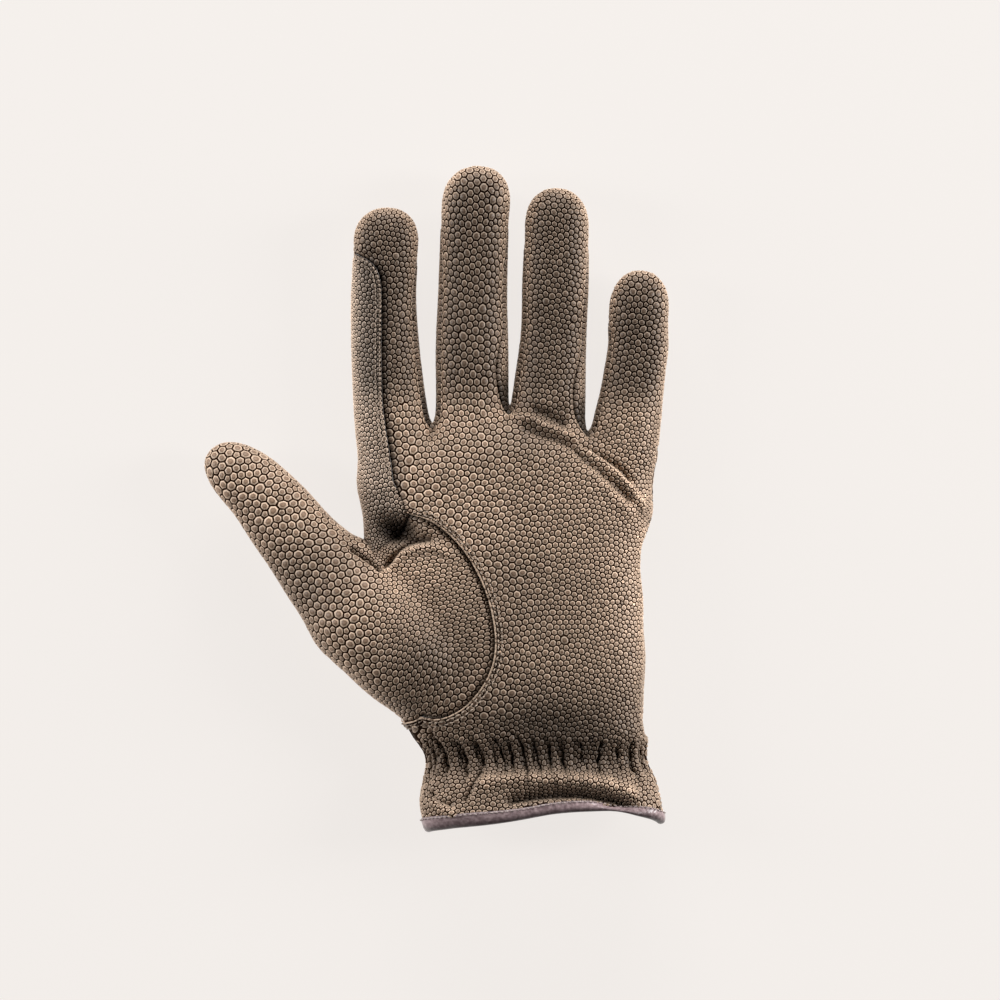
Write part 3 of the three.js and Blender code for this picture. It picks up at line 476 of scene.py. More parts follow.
def finger_grid(i, back):
    tube = finger_tubes[i]
    rows = np.linspace(0, 1, finger_steps + 1)
    ends = [seam_points(i, side, back, rows) for side in (-1, 1)]
    alongs, angles = [], []
    for p in ends:
        along, side = tube.local(p)
        share = along / tube.length
        alongs.append(along)
        up = (p[:, 2] - tube.lift(share)) / tube.half_depth(share)
        angles.append(np.arctan2(side / tube.half_width(share), up))
    if back:
        angles = [a % (2 * math.pi) for a in angles]
    t = columns[None]
    along = mix(alongs[0][:, None], alongs[1][:, None], t)
    grid = settle(tube.round(along, mix(angles[0][:, None], angles[1][:, None], t)))
    grid[:, 0], grid[:, -1] = ends
    return grid


def cap_grid(i, back):
    tube = finger_tubes[i]
    row = np.linspace(0, 1, cap_steps + 1)[1:, None]
    across = 2 * columns[None] - 1
    x, y = across * np.sqrt(1 - row * row / 2), row * np.sqrt(1 - across * across / 2)
    r = np.maximum(np.hypot(x, y), 1e-6)
    out, height = np.sin(r * math.pi / 2) / r, np.cos(r * math.pi / 2) * (-1 if back else 1)
    return settle(tube.place(tube.cap_start + out * y * tube.tip, out * x, height))


class Panel:
    """Rows of points on the glove, joined by faces that look outwards."""

    def __init__(self):
        self.points, self.faces, self.count = [], [], 0

    def add(self, row):
        self.points.append(np.asarray(row, float))
        first = self.count
        self.count += len(row)
        return list(range(first, self.count))

    def join(self, low, high):
        if len(low) == len(high):
            for i in range(len(low) - 1):
                self.faces.append((low[i], low[i + 1], high[i + 1], high[i]))
            return
        i = j = 0
        while i < len(low) - 1 or j < len(high) - 1:
            ahead = j == len(high) - 1 or (
                i < len(low) - 1 and (i + 1) / (len(low) - 1) <= (j + 1) / (len(high) - 1) + 1e-9
            )
            self.faces.append((low[i], low[i + 1] if ahead else high[j + 1], high[j]))
            i, j = (i + 1, j) if ahead else (i, j + 1)

    def finish(self, flip=False):
        self.points = np.vstack(self.points)
        self.faces = [face for face in self.faces if len(set(face)) == len(face)]
        if flip:
            self.faces = [face[::-1] for face in self.faces]
        return self

    def borders(self):
        used = {(face[k - 1], face[k]) for face in self.faces for k in range(len(face))}
        return [edge for edge in used if (edge[1], edge[0]) not in used]

    def triangles(self):
        cut = []
        for face in self.faces:
            cut += [(face[0], face[k], face[k + 1]) for k in range(1, len(face) - 1)]
        return np.array(cut)


def face_normals(p, triangles):
    a, b, c = (p[triangles[:, k]] for k in range(3))
    n = np.zeros_like(p)
    flat = np.cross(b - a, c - a)
    for k in range(3):
        np.add.at(n, triangles[:, k], flat)
    return unit(n)


# Folds, ridges and valleys, as lines through shares of the palm's width and length: height, reach, path
ridges = [
    (1.6, 1.0, [(0.49, 1.012), (0.545, 0.996), (0.595, 0.98), (0.645, 0.963), (0.694, 0.953), (0.79, 0.945)]),
    (-2.2, 1.5, [(0.56, 1.012), (0.615, 0.997), (0.665, 0.982), (0.74, 0.972)]),
    (-1.5, 1.6, [(0.53, 0.978), (0.64, 0.945), (0.75, 0.928)]),
    (1.7, 1.0, [(0.735, 0.966), (0.78, 0.944), (0.83, 0.909), (0.89, 0.868), (0.93, 0.843), (1.03, 0.775)]),
    (-1.8, 1.0, [(0.77, 0.968), (0.83, 0.925), (0.892, 0.886), (0.96, 0.845)]),
    (-2.0, 1.9, [(0.74, 0.938), (0.81, 0.887), (0.862, 0.852), (0.96, 0.79)]),
    (0.9, 2.0, [(0.79, 0.87), (0.85, 0.822), (0.912, 0.77), (0.952, 0.732)]),
    (0.9, 1.0, [(0.056, 0.657), (0.086, 0.624), (0.142, 0.655), (0.254, 0.671), (0.33, 0.646)]),
    (-3.4, 0.7, [(-0.01, 0.697), (0.03, 0.677), (0.058, 0.66), (0.096, 0.63)]),
    (-2.8, 1.0, [(0.096, 0.637), (0.139, 0.668), (0.198, 0.685), (0.254, 0.69)]),
    (2.4, 2.4, [(0.36, 0.12), (0.479, 0.136), (0.611, 0.141), (0.744, 0.137), (0.876, 0.12), (0.959, 0.09)]),
    (-5.0, 1.5, [(0.48, 0.08), (0.56, 0.095), (0.66, 0.104), (0.76, 0.104), (0.85, 0.092), (0.95, 0.072)]),
    (-1.7, 0.9, [(0.345, 0.085), (0.37, 0.105), (0.41, 0.165)]),
    (1.6, 1.6, [(0.228, 0.102), (0.281, 0.065), (0.33, 0.044)]),
    (-1.8, 0.9, [(0.21, 0.125), (0.248, 0.092), (0.32, 0.07)]),
]
ridge_lines = [(height, reach, drawn(path, 40)[:, :2]) for height, reach, path in ridges]

# Hollows and swells: place as shares of the palm's width and length, reach in both directions, height
spots = [
    (0.56, 0.62, 22.0, 22.0, -2.2), (0.15, 0.712, 5.0, 3.4, -7.0), (0.1, 0.71, 3.5, 3.5, -3.0),
    (0.965, 0.743, 4.0, 3.5, -1.1), (0.955, 0.603, 4.5, 5.0, -0.8), (0.62, 0.25, 20.0, 6.0, -1.0),
    (0.66, 0.22, 30.0, 24.0, -2.4), (0.68, 0.985, 4.0, 3.0, -1.4),
    (0.2, 0.69, 5.0, 1.6, -3.0), (0.125, 0.688, 3.5, 2.5, -3.0),
]


def near_line(p, line):
    """Distance to a line seen from above, and the share along it of the nearest place."""
    a, b = line[:-1], line[1:]
    e = b - a
    best = np.full(len(p), np.inf)
    share = np.zeros(len(p))
    for i in range(len(a)):
        r = p[:, :2] - a[i]
        t = np.clip((r @ e[i]) / (e[i] @ e[i]), 0, 1)
        off = r - t[:, None] * e[i]
        d = np.hypot(off[:, 0], off[:, 1])
        nearer = d < best
        best = np.where(nearer, d, best)
        share = np.where(nearer, (i + t) / len(a), share)
    return best, share


gather_level, gather_reach, gather_depth, gather_ribs = 0.181, 5.6, 3.0, 18


def round_share(p):
    middle, half, height, deep = body_at(p[:, 1])
    angle = angle_from((p[:, 0] - middle) / half, (p[:, 2] - height) / deep, half, deep)
    seam = side_angle(p[:, 1])
    size = np.abs(angle)
    reach = np.where(size > seam, (math.pi - size) / (math.pi - seam), size / seam)
    return np.clip(0.5 + np.sign(angle) * reach / 2, 0, 1)


def gathers(p, seed):
    """Ribs of leather drawn together by the elastic, with narrow deep valleys of uneven length between."""
    rng = np.random.default_rng(seed)
    level = p[:, 1] - at_along(gather_level)
    share = round_share(p) * gather_ribs
    ends = ease((0.5 - np.abs(round_share(p) - 0.5)) / 0.04)
    total = np.zeros(len(p))
    for k in np.arange(0.3, gather_ribs, 0.5):
        wide = k % 1 < 0.5
        centre = k + rng.uniform(-0.18, 0.18)
        strength = rng.uniform(0.8, 1.1) if wide else rng.uniform(0.1, 0.7)
        reach = rng.uniform(0.55, 1.15) * gather_reach * (1 if wide else 0.6)
        away = (level - rng.uniform(-1.5, 1.5)) / reach
        bend = rng.uniform(-0.1, 0.1) * np.sin(level * rng.uniform(0.3, 0.6))
        bend = bend + rng.uniform(-0.012, 0.012) * level
        off = share - centre + bend + 0.05 * np.sin(level * rng.uniform(1.2, 2.2) + rng.uniform(0, 6))
        broken = 0.8 + 0.35 * np.sin(level * rng.uniform(0.9, 1.8) + rng.uniform(0, 6))
        narrow = 0.12 if wide else 0.08
        valley = strength * broken * np.exp(-((off / narrow) ** 2)) * np.exp(-np.abs(away) ** 3)
        total = np.maximum(total, valley)
    swell = 0.12 * np.exp(-((level / 14) ** 2)) * np.cos(share * 2 * math.pi)
    dip = 0.3 * np.exp(-((level / gather_reach) ** 4)) + swell
    return -gather_depth * ends * (total + dip)


def relief(p, normal, seed=1):
    """Height of the folds, the hollows and the gathers above the smooth shape."""
    height, deep = np.zeros(len(p)), np.zeros(len(p))
    for rise, reach, line in ridge_lines:
        distance, share = near_line(p, line)
        ends = ease(8 * np.minimum(share, 1 - share) + 0.15)
        height += ends * rise * np.exp(-((distance / reach) ** 2))
    for across, along, wide, long, rise in spots:
        dx, dy = (p[:, 0] - at_across(across)) / wide, (p[:, 1] - at_along(along)) / long
        deep += rise * np.exp(-dx * dx - dy * dy)
    facing = ease((normal[:, 2] - 0.05) / 0.4)
    return facing * height + ease((normal[:, 2] + 0.2) / 0.5) * deep + ease(p[:, 2] / 3) * gathers(p, seed)


def shaped(panel, lips=(), seed=1):
    """Raises the folds, turns the edges into their seams and gives each point its normal and its tone, which
    holds painted light and shade.
    """
    smooth = unit(slope(panel.points))
    fold = relief(panel.points, smooth, seed)
    borders = np.array(panel.borders())
    a, b = panel.points[borders[:, 0]], panel.points[borders[:, 1]]
    into = np.zeros_like(panel.points)
    inward = unit(np.cross(smooth[borders[:, 0]], unit(b - a)))
    for k in (0, 1):
        np.add.at(into, borders[:, k], inward)
    tree = KDTree(len(a) * 8)
    for i, t in enumerate(np.linspace(0, 1, 8, endpoint=False)):
        for j, q in enumerate(mix(a, b, t)):
            tree.insert(q, i * len(a) + j)
    tree.balance()
    panel.edge_distance = np.array([tree.find(q)[2] for q in panel.points])
    sink = 0.6 * np.exp(-((panel.edge_distance / 0.7) ** 2))
    # Painted shadow along every edge, where the seams are; beside the lips it takes each lip's own painted
    # shadow
    dark = 0.5 * np.exp(-((panel.edge_distance / 0.7) ** 2))
    for line, rise, reach, shadow, shadow_reach in lips:
        off = near_line(panel.points, line[:, :2])[0]
        near = np.exp(-((off / 3.5) ** 4)) * ease(smooth[:, 2] / 0.3)
        sink = mix(sink, -rise * np.exp(-((panel.edge_distance / reach) ** 2)), near)
        dark = mix(dark, shadow * np.exp(-((panel.edge_distance / shadow_reach) ** 2)), near)
    p = panel.points + smooth * (fold - sink)[:, None] + unit(into) * seam_gap / 2
    p[:, 2] = np.maximum(p[:, 2], 0)
    panel.smooth, panel.outer = smooth, p
    panel.normals = face_normals(p, panel.triangles())
    # The tone holds painted light and shade: lighter on the folds' ridges, darker in their valleys, less the
    # painted seam shadow, plus the painted spots
    panel.tint = np.exp(np.clip(0.22 * fold, -1.5, 0.32) - dark + painted_light_and_shade(panel.points, smooth))
    return panel


# Painted light and shade on the leather, lighter or darker as its slopes and hollows would be lit: place as
# shares, reach in both directions, and how much
painted_light_spots = [
    (0.66, 0.245, 34.0, 13.0, -0.65), (0.6, 0.175, 45.0, 5.5, -0.2), (0.25, 0.4, 16.0, 13.0, -0.8),
    (0.92, 0.58, 11.0, 34.0, 0.3), (0.09, 0.735, 6.0, 9.0, -0.9), (0.3, 0.2, 12.0, 8.0, -0.25),
    (0.62, 0.97, 12.0, 7.0, -0.45), (0.55, 0.9, 32.0, 8.0, -0.2), (0.53, 0.7, 26.0, 12.0, 0.3),
    (0.6, 0.5, 24.0, 12.0, -0.12), (0.2, 0.62, 14.0, 7.0, 0.35), (-0.14, 0.6, 15.0, 16.0, -0.55),
    (0.55, 0.07, 50.0, 7.0, -0.12),
]


def painted_light_and_shade(p, normal):
    # Painted shade on the upward-facing middles of the fingers, then the painted spots, all faded out on
    # faces turned down
    facing = ease((normal[:, 2] - 0.5) / 0.48)
    total = -0.9 * facing * ease((at_share(p[:, 1]) - 0.97) / 0.1) * ease((p[:, 0] - at_across(-0.05)) / 3)
    for across, along, wide, long, amount in painted_light_spots:
        dx, dy = (p[:, 0] - at_across(across)) / wide, (p[:, 1] - at_along(along)) / long
        total = total + amount * np.exp(-dx * dx - dy * dy)
    return total * ease((normal[:, 2] + 0.2) / 0.6)


def fine_where(p):
    """How long an edge may be: short beside the folds and in the thumb's crotch."""
    size = np.full(len(p), 9.0)
    for reach, line in [fold[1:] for fold in ridge_lines]:
        size = np.where(near_line(p, line)[0] < 1.5 + 1.8 * reach, 0.85, size)
    pocket = np.hypot(p[:, 0] - at_across(0.15), p[:, 1] - at_along(0.705))
    return np.where(pocket < 11, 0.85, size)


def refined(panel, passes=3):
    """Halves long edges beside the folds, so that the folds come out sharp."""
    p, triangles = panel.points, panel.triangles()
    for _ in range(passes):
        pairs = np.sort(np.concatenate([triangles[:, [k, (k + 1) % 3]] for k in range(3)]), axis=1)
        edges, owner, uses = np.unique(pairs, axis=0, return_inverse=True, return_counts=True)
        a, b = p[edges[:, 0]], p[edges[:, 1]]
        split = (np.linalg.norm(b - a, axis=1) > fine_where((a + b) / 2) * 1.3) & (uses == 2) & (b[:, 2] > 3)
        added = np.full(len(edges), -1)
        added[split] = len(p) + np.arange(split.sum())
        p = np.vstack([p, settle((a[split] + b[split]) / 2)])
        halves = added[owner.reshape(3, -1)].T
        whole = (halves < 0).all(1)
        cut = triangles[whole].tolist()
        for corners, middles in zip(triangles[~whole].tolist(), halves[~whole].tolist()):
            ring = []
            for k in range(3):
                if middles[k - 1] >= 0 and middles[k] >= 0:
                    cut.append([middles[k - 1], corners[k], middles[k]])
                else:
                    ring.append(corners[k])
                if middles[k] >= 0:
                    ring.append(middles[k])
            first = next(k for k, one in enumerate(ring) if one in middles)
            ring = ring[first:] + ring[:first]
            cut += [[ring[0], ring[k], ring[k + 1]] for k in range(1, len(ring) - 1)]
        triangles = np.array(cut)
    panel.points, panel.faces = p, [tuple(face) for face in triangles.tolist()]
    return panel


def trank(back):
    """The palm or the back, with its four fingers, down to the hem."""
    panel = Panel()
    grids = [np.concatenate([finger_grid(i, back), cap_grid(i, back)]) for i in range(4)]
    foot = np.vstack([grid[0] if i == 0 else grid[0][1:] for i, grid in enumerate(grids)])
    foot_row = panel.add(foot)
    wide = len(columns) - 1
    for i, grid in enumerate(grids):
        low = foot_row[i * wide : (i + 1) * wide + 1]
        for row in grid[1:]:
            high = panel.add(row)
            panel.join(low, high)
            low = high
    left = thumb_seam_back[::-1] if back else thumb_seam_palm
    shares = (foot[:, 0] - foot[0, 0]) / (foot[-1, 0] - foot[0, 0])
    bottom = at_along(gather_top + 0.012)
    start = foot[0]
    between = spaced(np.vstack([start, left[0]]), 24)[1:-1]
    edge_points = np.vstack([settle(between), left])
    high = foot_row
    for k, edge in enumerate(edge_points):
        t = (k + 1) / len(edge_points)
        right_y = mix(foot[-1, 1], bottom, t)
        right = side_point(1, right_y)
        bulge = (1 - t) * (crotch_y - max(edge[1], right_y)) * 0.35
        y = mix(edge[1], right_y, shares) + bulge * np.sin(math.pi * shares)
        x = mix(edge[0], right[0], shares)
        middle, half, height, deep = body_at(y)
        up = (1 - np.minimum(np.abs((x - middle) / half), 0.999) ** palm_roundness) ** (1 / palm_roundness)
        row = settle(points(x, y, height + (-1 if back else 1) * up * deep))
        row[0], row[-1] = edge, right
        low = panel.add(row)
        panel.join(low, high)
        high = low
    hem_rows = []
    for share in cuff_shares:
        turn = np.linspace(-1, 1, gather_ribs * (10 if share > 0.42 else 6) + 1)
        across = mix(0.22, 1, (turn + 1) / 2)
        level = at_along(hem(across))
        if back:
            level = mix(level, at_along(back_hem), np.sin(math.pi * (turn + 1) / 2))
        y = mix(level, at_along(gather_top), share)
        seam = side_angle(y)
        behind = np.where(turn < 0, -math.pi, math.pi) - turn * (math.pi - seam)
        low = panel.add(place_round(y, behind if back else turn * seam))
        panel.join(low, high)
        high = low
        hem_rows.insert(0, low)
    panel.hem_rows = hem_rows
    return panel.finish(flip=back)


gather_top = 0.225
cuff_shares = np.concatenate([np.linspace(1, 0.5, 18), np.linspace(0.46, 0, 18)])
patch_seam = seam_points(0, -1, False, np.linspace(0, 0.955, 100))
palm_panel = shaped(
    refined(trank(False)), [(thumb_seam_palm, 0.5, 3.0, 0.0, 1.0), (patch_seam, -0.7, 1.6, 0.9, 2.4)]
)


def flattened(panel, cut=()):
    """The panel's flat pattern: corner positions of each triangle, in millimetres."""
    mesh = bpy.data.meshes.new("pattern")
    triangles = panel.triangles()
    mesh.from_pydata([tuple(p) for p in panel.outer], [], [tuple(int(i) for i in t) for t in triangles])
    pattern = bpy.data.objects.new("pattern", mesh)
    bpy.context.collection.objects.link(pattern)
    wanted = {tuple(sorted(pair)) for pair in cut}
    for edge in mesh.edges:
        edge.use_seam = tuple(sorted(edge.vertices)) in wanted
    mesh.uv_layers.new(name="flat")
    bpy.ops.object.select_all(action="DESELECT")
    pattern.select_set(True)
    bpy.context.view_layer.objects.active = pattern
    bpy.ops.object.mode_set(mode="EDIT")
    bpy.ops.mesh.select_all(action="SELECT")
    bpy.ops.uv.unwrap(method="ANGLE_BASED", margin=0)
    bpy.ops.object.mode_set(mode="OBJECT")
    uv = np.empty(len(mesh.loops) * 2)
    mesh.uv_layers["flat"].data.foreach_get("uv", uv)
    uv = uv.reshape(-1, 3, 2)
    p = panel.outer[triangles]
    area = np.linalg.norm(np.cross(p[:, 1] - p[:, 0], p[:, 2] - p[:, 0]), axis=1).sum()
    e1, e2 = uv[:, 1] - uv[:, 0], uv[:, 2] - uv[:, 0]
    uv *= math.sqrt(area / np.abs(e1[:, 0] * e2[:, 1] - e1[:, 1] * e2[:, 0]).sum())
    bpy.data.objects.remove(pattern)
    bpy.data.meshes.remove(mesh)
    return triangles, uv


class Pattern:
    """The flat pattern of a panel, which carries points drawn on it to the panel's surface."""

    def __init__(self, panel, cut=(), stretch=None):
        self.panel = panel
        self.triangles, self.uv = flattened(panel, cut)
        flat, seen = self.uv.reshape(-1, 2), panel.outer[self.triangles].reshape(-1, 3)[:, :2]
        seen_middle = seen.mean(0)
        flat, seen = flat - flat.mean(0), seen - seen_middle
        turn = math.atan2((flat[:, 0] * seen[:, 1] - flat[:, 1] * seen[:, 0]).sum(), (flat * seen).sum())
        c, s = math.cos(turn), math.sin(turn)
        flat = flat @ np.array([[c, s], [-s, c]]) + seen_middle
        if stretch:
            flat[:, 1] = stretch(flat, panel.outer[self.triangles].reshape(-1, 3))
        self.uv = flat.reshape(-1, 3, 2)
        polygons = [(3 * i, 3 * i + 1, 3 * i + 2) for i in range(len(self.uv))]
        self.tree = BVHTree.FromPolygons([(u, v, 0) for u, v in flat], polygons)
        self.e1, self.e2 = self.uv[:, 1] - self.uv[:, 0], self.uv[:, 2] - self.uv[:, 0]
        self.det = self.e1[:, 0] * self.e2[:, 1] - self.e1[:, 1] * self.e2[:, 0]
        a, b, c = (panel.outer[self.triangles[:, k]] for k in range(3))
        real = np.linalg.norm(np.cross(b - a, c - a), axis=1)
        sums = np.zeros((len(panel.outer), 2))
        for k in range(3):
            np.add.at(sums[:, 0], self.triangles[:, k], np.abs(self.det))
            np.add.at(sums[:, 1], self.triangles[:, k], real)
        ratio = np.sqrt(sums[:, 0] / np.maximum(sums[:, 1], 1e-9))
        for _ in range(3):
            total, count = ratio.copy(), np.ones(len(ratio))
            for k in range(3):
                np.add.at(total, self.triangles[:, k], ratio[self.triangles[:, (k + 1) % 3]])
                np.add.at(count, self.triangles[:, k], 1)
            ratio = total / count
        self.ratio = ratio
        keys = np.round(flat * 1000).astype(int)
        edges = {}
        for t in range(len(self.uv)):
            for k in range(3):
                one, other = tuple(keys[3 * t + k]), tuple(keys[3 * t + (k + 1) % 3])
                edges[(one, other)] = (3 * t + k, 3 * t + (k + 1) % 3)
        rim = [pair for key, pair in edges.items() if (key[1], key[0]) not in edges]
        self.rim = flat[np.array(rim)]

    def locate(self, flat):
        found = [self.tree.find_nearest((u, v, 0)) for u, v in flat]
        where = np.array([hit[0][:2] for hit in found])
        face = np.array([hit[2] for hit in found])
        away = np.array([hit[3] for hit in found])
        return where, face, away

    def values(self, where, face, data):
        r = where - self.uv[face, 0]
        det = np.where(np.abs(self.det[face]) < 1e-12, 1e-12, self.det[face])
        s = (r[:, 0] * self.e2[face, 1] - r[:, 1] * self.e2[face, 0]) / det
        t = (self.e1[face, 0] * r[:, 1] - self.e1[face, 1] * r[:, 0]) / det
        weights = np.stack([1 - s - t, s, t], axis=1)
        data = data[self.triangles[face]]
        return (data * weights.reshape(weights.shape + (1,) * (data.ndim - 2))).sum(1)


def scattered(pattern, pitch, rng, margin):
    """Centres of the scales, close-packed but uneven, and a ring of guides outside the panel's edge."""
    at_vertex = pitch(pattern.panel.outer) * pattern.ratio
    area = np.abs(pattern.det) / 2
    chance = area * 1.155 / at_vertex[pattern.triangles].mean(1) ** 2
    tries = int(chance.sum() * 18)
    face = rng.choice(len(area), tries, p=chance / chance.sum())
    s, t = rng.random(tries), rng.random(tries)
    fold = s + t > 1
    s, t = np.where(fold, 1 - s, s), np.where(fold, 1 - t, t)
    where = pattern.uv[face, 0] + pattern.e1[face] * s[:, None] + pattern.e2[face] * t[:, None]
    size = pattern.values(where, face, at_vertex)
    rim = pattern.rim
    samples = np.concatenate([mix(rim[:, 0], rim[:, 1], k / 8) for k in range(8)])
    edge = KDTree(len(samples))
    for i, (u, v) in enumerate(samples):
        edge.insert((u, v, 0), i)
    edge.balance()
    apart, off_edge = (size * 0.78).tolist(), (size * 0.42 + margin).tolist()
    cell = float(np.median(size)) * 0.78
    kept, grid = [], {}
    for i, (u, v) in enumerate(where.tolist()):
        near = apart[i]
        gu, gv = int(u // cell), int(v // cell)
        reach = int(near // cell) + 1
        near *= near
        clash = any(
            (a - u) ** 2 + (b - v) ** 2 < near
            for column in range(gu - reach, gu + reach + 1)
            for row in range(gv - reach, gv + reach + 1)
            for a, b in grid.get((column, row), ())
        )
        if clash or edge.find((u, v, 0))[2] < off_edge[i]:
            continue
        grid.setdefault((gu, gv), []).append((u, v))
        kept.append(i)
    seeds = where[kept]
    direction = rim[:, 1] - rim[:, 0]
    outward = unit(np.stack([direction[:, 1], -direction[:, 0]], axis=1))
    rim_size = at_vertex_near(pattern, rim.mean(1), at_vertex)
    guides = []
    for (one, other), out, step in zip(rim, outward, rim_size):
        count = np.linalg.norm(other - one) / (step * 0.5)
        whole = int(count) + (rng.random() < count - int(count))
        for k in range(whole):
            guides.append(mix(one, other, (k + 0.5) / whole) + out * (step * 0.46 - margin))
    guides = np.array(guides)
    away = pattern.locate(guides)[2]
    return seeds, guides[away > rim_size.min() * 0.3]


def at_vertex_near(pattern, flat, data):
    where, face = pattern.locate(flat)[:2]
    return pattern.values(where, face, data)


def network(flat):
    """The triangles that join each point to its neighbours."""
    result = delaunay_2d_cdt([Vector((u, v)) for u, v in flat], [], [], 0, 1e-7)
    order = [one[0] if one else -1 for one in result[3]]
    faces = np.array([[order[i] for i in face] for face in result[2] if len(face) == 3])
    return faces[(faces >= 0).all(1)]


def relaxed(seeds, guides, size, rounds):
    """Pushes the centres apart until each keeps its own distance from its neighbours."""
    inner = len(seeds)
    size = np.concatenate([size, np.full(len(guides), np.nan)])
    for turn in range(rounds):
        faces = network(np.vstack([seeds, guides]))
        pairs = np.concatenate([faces[:, [0, 1]], faces[:, [1, 2]], faces[:, [2, 0]]])
        links = np.unique(np.sort(pairs, axis=1), axis=0)
        a, b = links[:, 0], links[:, 1]
        wanted = np.nanmean(np.stack([size[a], size[b], np.full(len(a), np.nan)]), axis=0)
        for _ in range(6):
            every = np.vstack([seeds, guides])
            step = every[b] - every[a]
            long = np.maximum(np.linalg.norm(step, axis=1), 1e-9)
            rest = np.where(np.isnan(wanted), long, wanted * np.where((a < inner) & (b < inner), 1, 0.9))
            push = np.clip((rest * 1.04 - long) / long, -0.1, 0.6)[:, None] * step * 0.17
            move = np.zeros_like(every)
            np.add.at(move, b, push)
            np.add.at(move, a, -push)
            seeds = seeds + move[:inner]
        if turn in (2, 4):
            long = np.linalg.norm(every[b] - every[a], axis=1)
            full = long / np.where(np.isnan(wanted), long, wanted)
            total = np.bincount(a, full, len(every)) + np.bincount(b, full, len(every))
            number = np.bincount(a, minlength=len(every)) + np.bincount(b, minlength=len(every))
            roomy = (total / np.maximum(number, 1))[:inner] > 0.86
            seeds, size = seeds[roomy], size[np.append(roomy, np.full(len(guides), True))]
            inner = len(seeds)
    return seeds


def embossed(pattern, pitch, seed, height=0.3, groove=0.2, margin=0.12, uneven=0.08):
    """The raised scales: each is a polygon that rises from the groove to a rim round a shallow middle."""
    rng = np.random.default_rng(seed)
    seeds, guides = scattered(pattern, pitch, rng, margin)
    at_vertex = pitch(pattern.panel.outer) * pattern.ratio
    size = at_vertex_near(pattern, seeds, at_vertex)
    seeds = relaxed(seeds, guides, size, 8)
    seeds = seeds[pattern.locate(seeds)[2] < 0.05]
    every = np.vstack([seeds, guides])
    faces = network(every)
    middles = every[faces].mean(1)
    owner = np.concatenate([faces[:, k] for k in range(3)])
    corner = np.concatenate([middles] * 3)
    mine = owner < len(seeds)
    owner, corner = owner[mine], corner[mine]
    ray = corner - seeds[owner]
    reach = np.linalg.norm(ray, axis=1)
    most = 0.85 * at_vertex_near(pattern, seeds, at_vertex)[owner]
    corner = seeds[owner] + ray * (np.minimum(reach, most) / np.maximum(reach, 1e-9))[:, None]
    order = np.lexsort((np.arctan2(ray[:, 1], ray[:, 0]), owner))
    owner, corner = owner[order], corner[order]
    n, m = len(owner), len(seeds)
    first = np.searchsorted(owner, np.arange(m))
    count = np.diff(np.append(first, n))
    middle = np.zeros((m, 2))
    np.add.at(middle, owner, corner)
    middle /= np.maximum(count, 1)[:, None]
    position = np.arange(n) - first[owner]
    after = first[owner] + (position + 1) % count[owner]
    before = first[owner] + (position - 1) % count[owner]
    ray = corner - middle[owner]
    ray = 0.8 * ray + 0.1 * (ray[before] + ray[after])
    apothem = np.zeros(m)
    np.add.at(apothem, owner, np.linalg.norm((ray + ray[after]) / 2, axis=1))
    apothem /= np.maximum(count, 1)
    long = np.linalg.norm(ray, axis=1)
    ray *= (np.minimum(long, 1.24 * apothem[owner]) / np.maximum(long, 1e-9))[:, None]
    scale = at_vertex_near(pattern, middle, pattern.ratio)
    real_size = apothem * 2 / scale
    share = scale / np.maximum(apothem, 1e-6)
    rings = []
    for inset, rise, tone in ((0.05, -0.06, 0.0), (groove, 1.0, 0.5)):
        inward = np.maximum(1 - inset * share, 0.12)[owner]
        rings.append((middle[owner] + ray * inward[:, None], np.full(n, rise), np.full(n, tone)))
    flat = np.vstack([ring[0] for ring in rings] + [middle])
    where, face = pattern.locate(flat)[:2]
    surface = pattern.values(where, face, pattern.panel.outer)
    home = np.concatenate([owner, owner, np.arange(m)]) + 2 * n
    astray = np.linalg.norm(surface - surface[home], axis=1) > 3.5
    for found in (where, face, surface):
        found[astray] = found[home][astray]
    normal = unit(pattern.values(where, face, pattern.panel.normals))
    edge = pattern.values(where, face, pattern.panel.edge_distance)
    swell = height * rng.uniform(0.85, 1.15, m)
    rise = np.concatenate([ring[1] for ring in rings] + [np.full(m, 0.62)])
    rise = np.where(rise > 0, rise * np.concatenate([swell[owner]] * 2 + [swell]), rise)
    rise = np.where(rise > 0, rise * mix(0.5, 1, ease(edge / 1.5)), rise)
    verts = surface + normal * rise[:, None]
    verts[:, 2] = np.maximum(verts[:, 2], 0.0)
    ring = np.arange(n)
    quads = np.stack([ring, after, after + n, ring + n], axis=1)
    tips = np.stack([ring + n, after + n, owner + 2 * n], axis=1)
    tone = np.concatenate([one[2] for one in rings] + [np.full(m, 1.0)])
    crumpled = ease((1.35 - real_size) / 0.4)
    own = np.exp(np.clip(rng.normal(0, 1, m) * mix(0.08, uneven, crumpled), -1.2, 0.75))
    shade = np.concatenate([own[owner]] * 2 + [own]) * pattern.values(where, face, pattern.panel.tint)
    faces = [tuple(map(int, q)) for q in quads] + [tuple(map(int, t)) for t in tips]
    return verts, faces, tone, shade


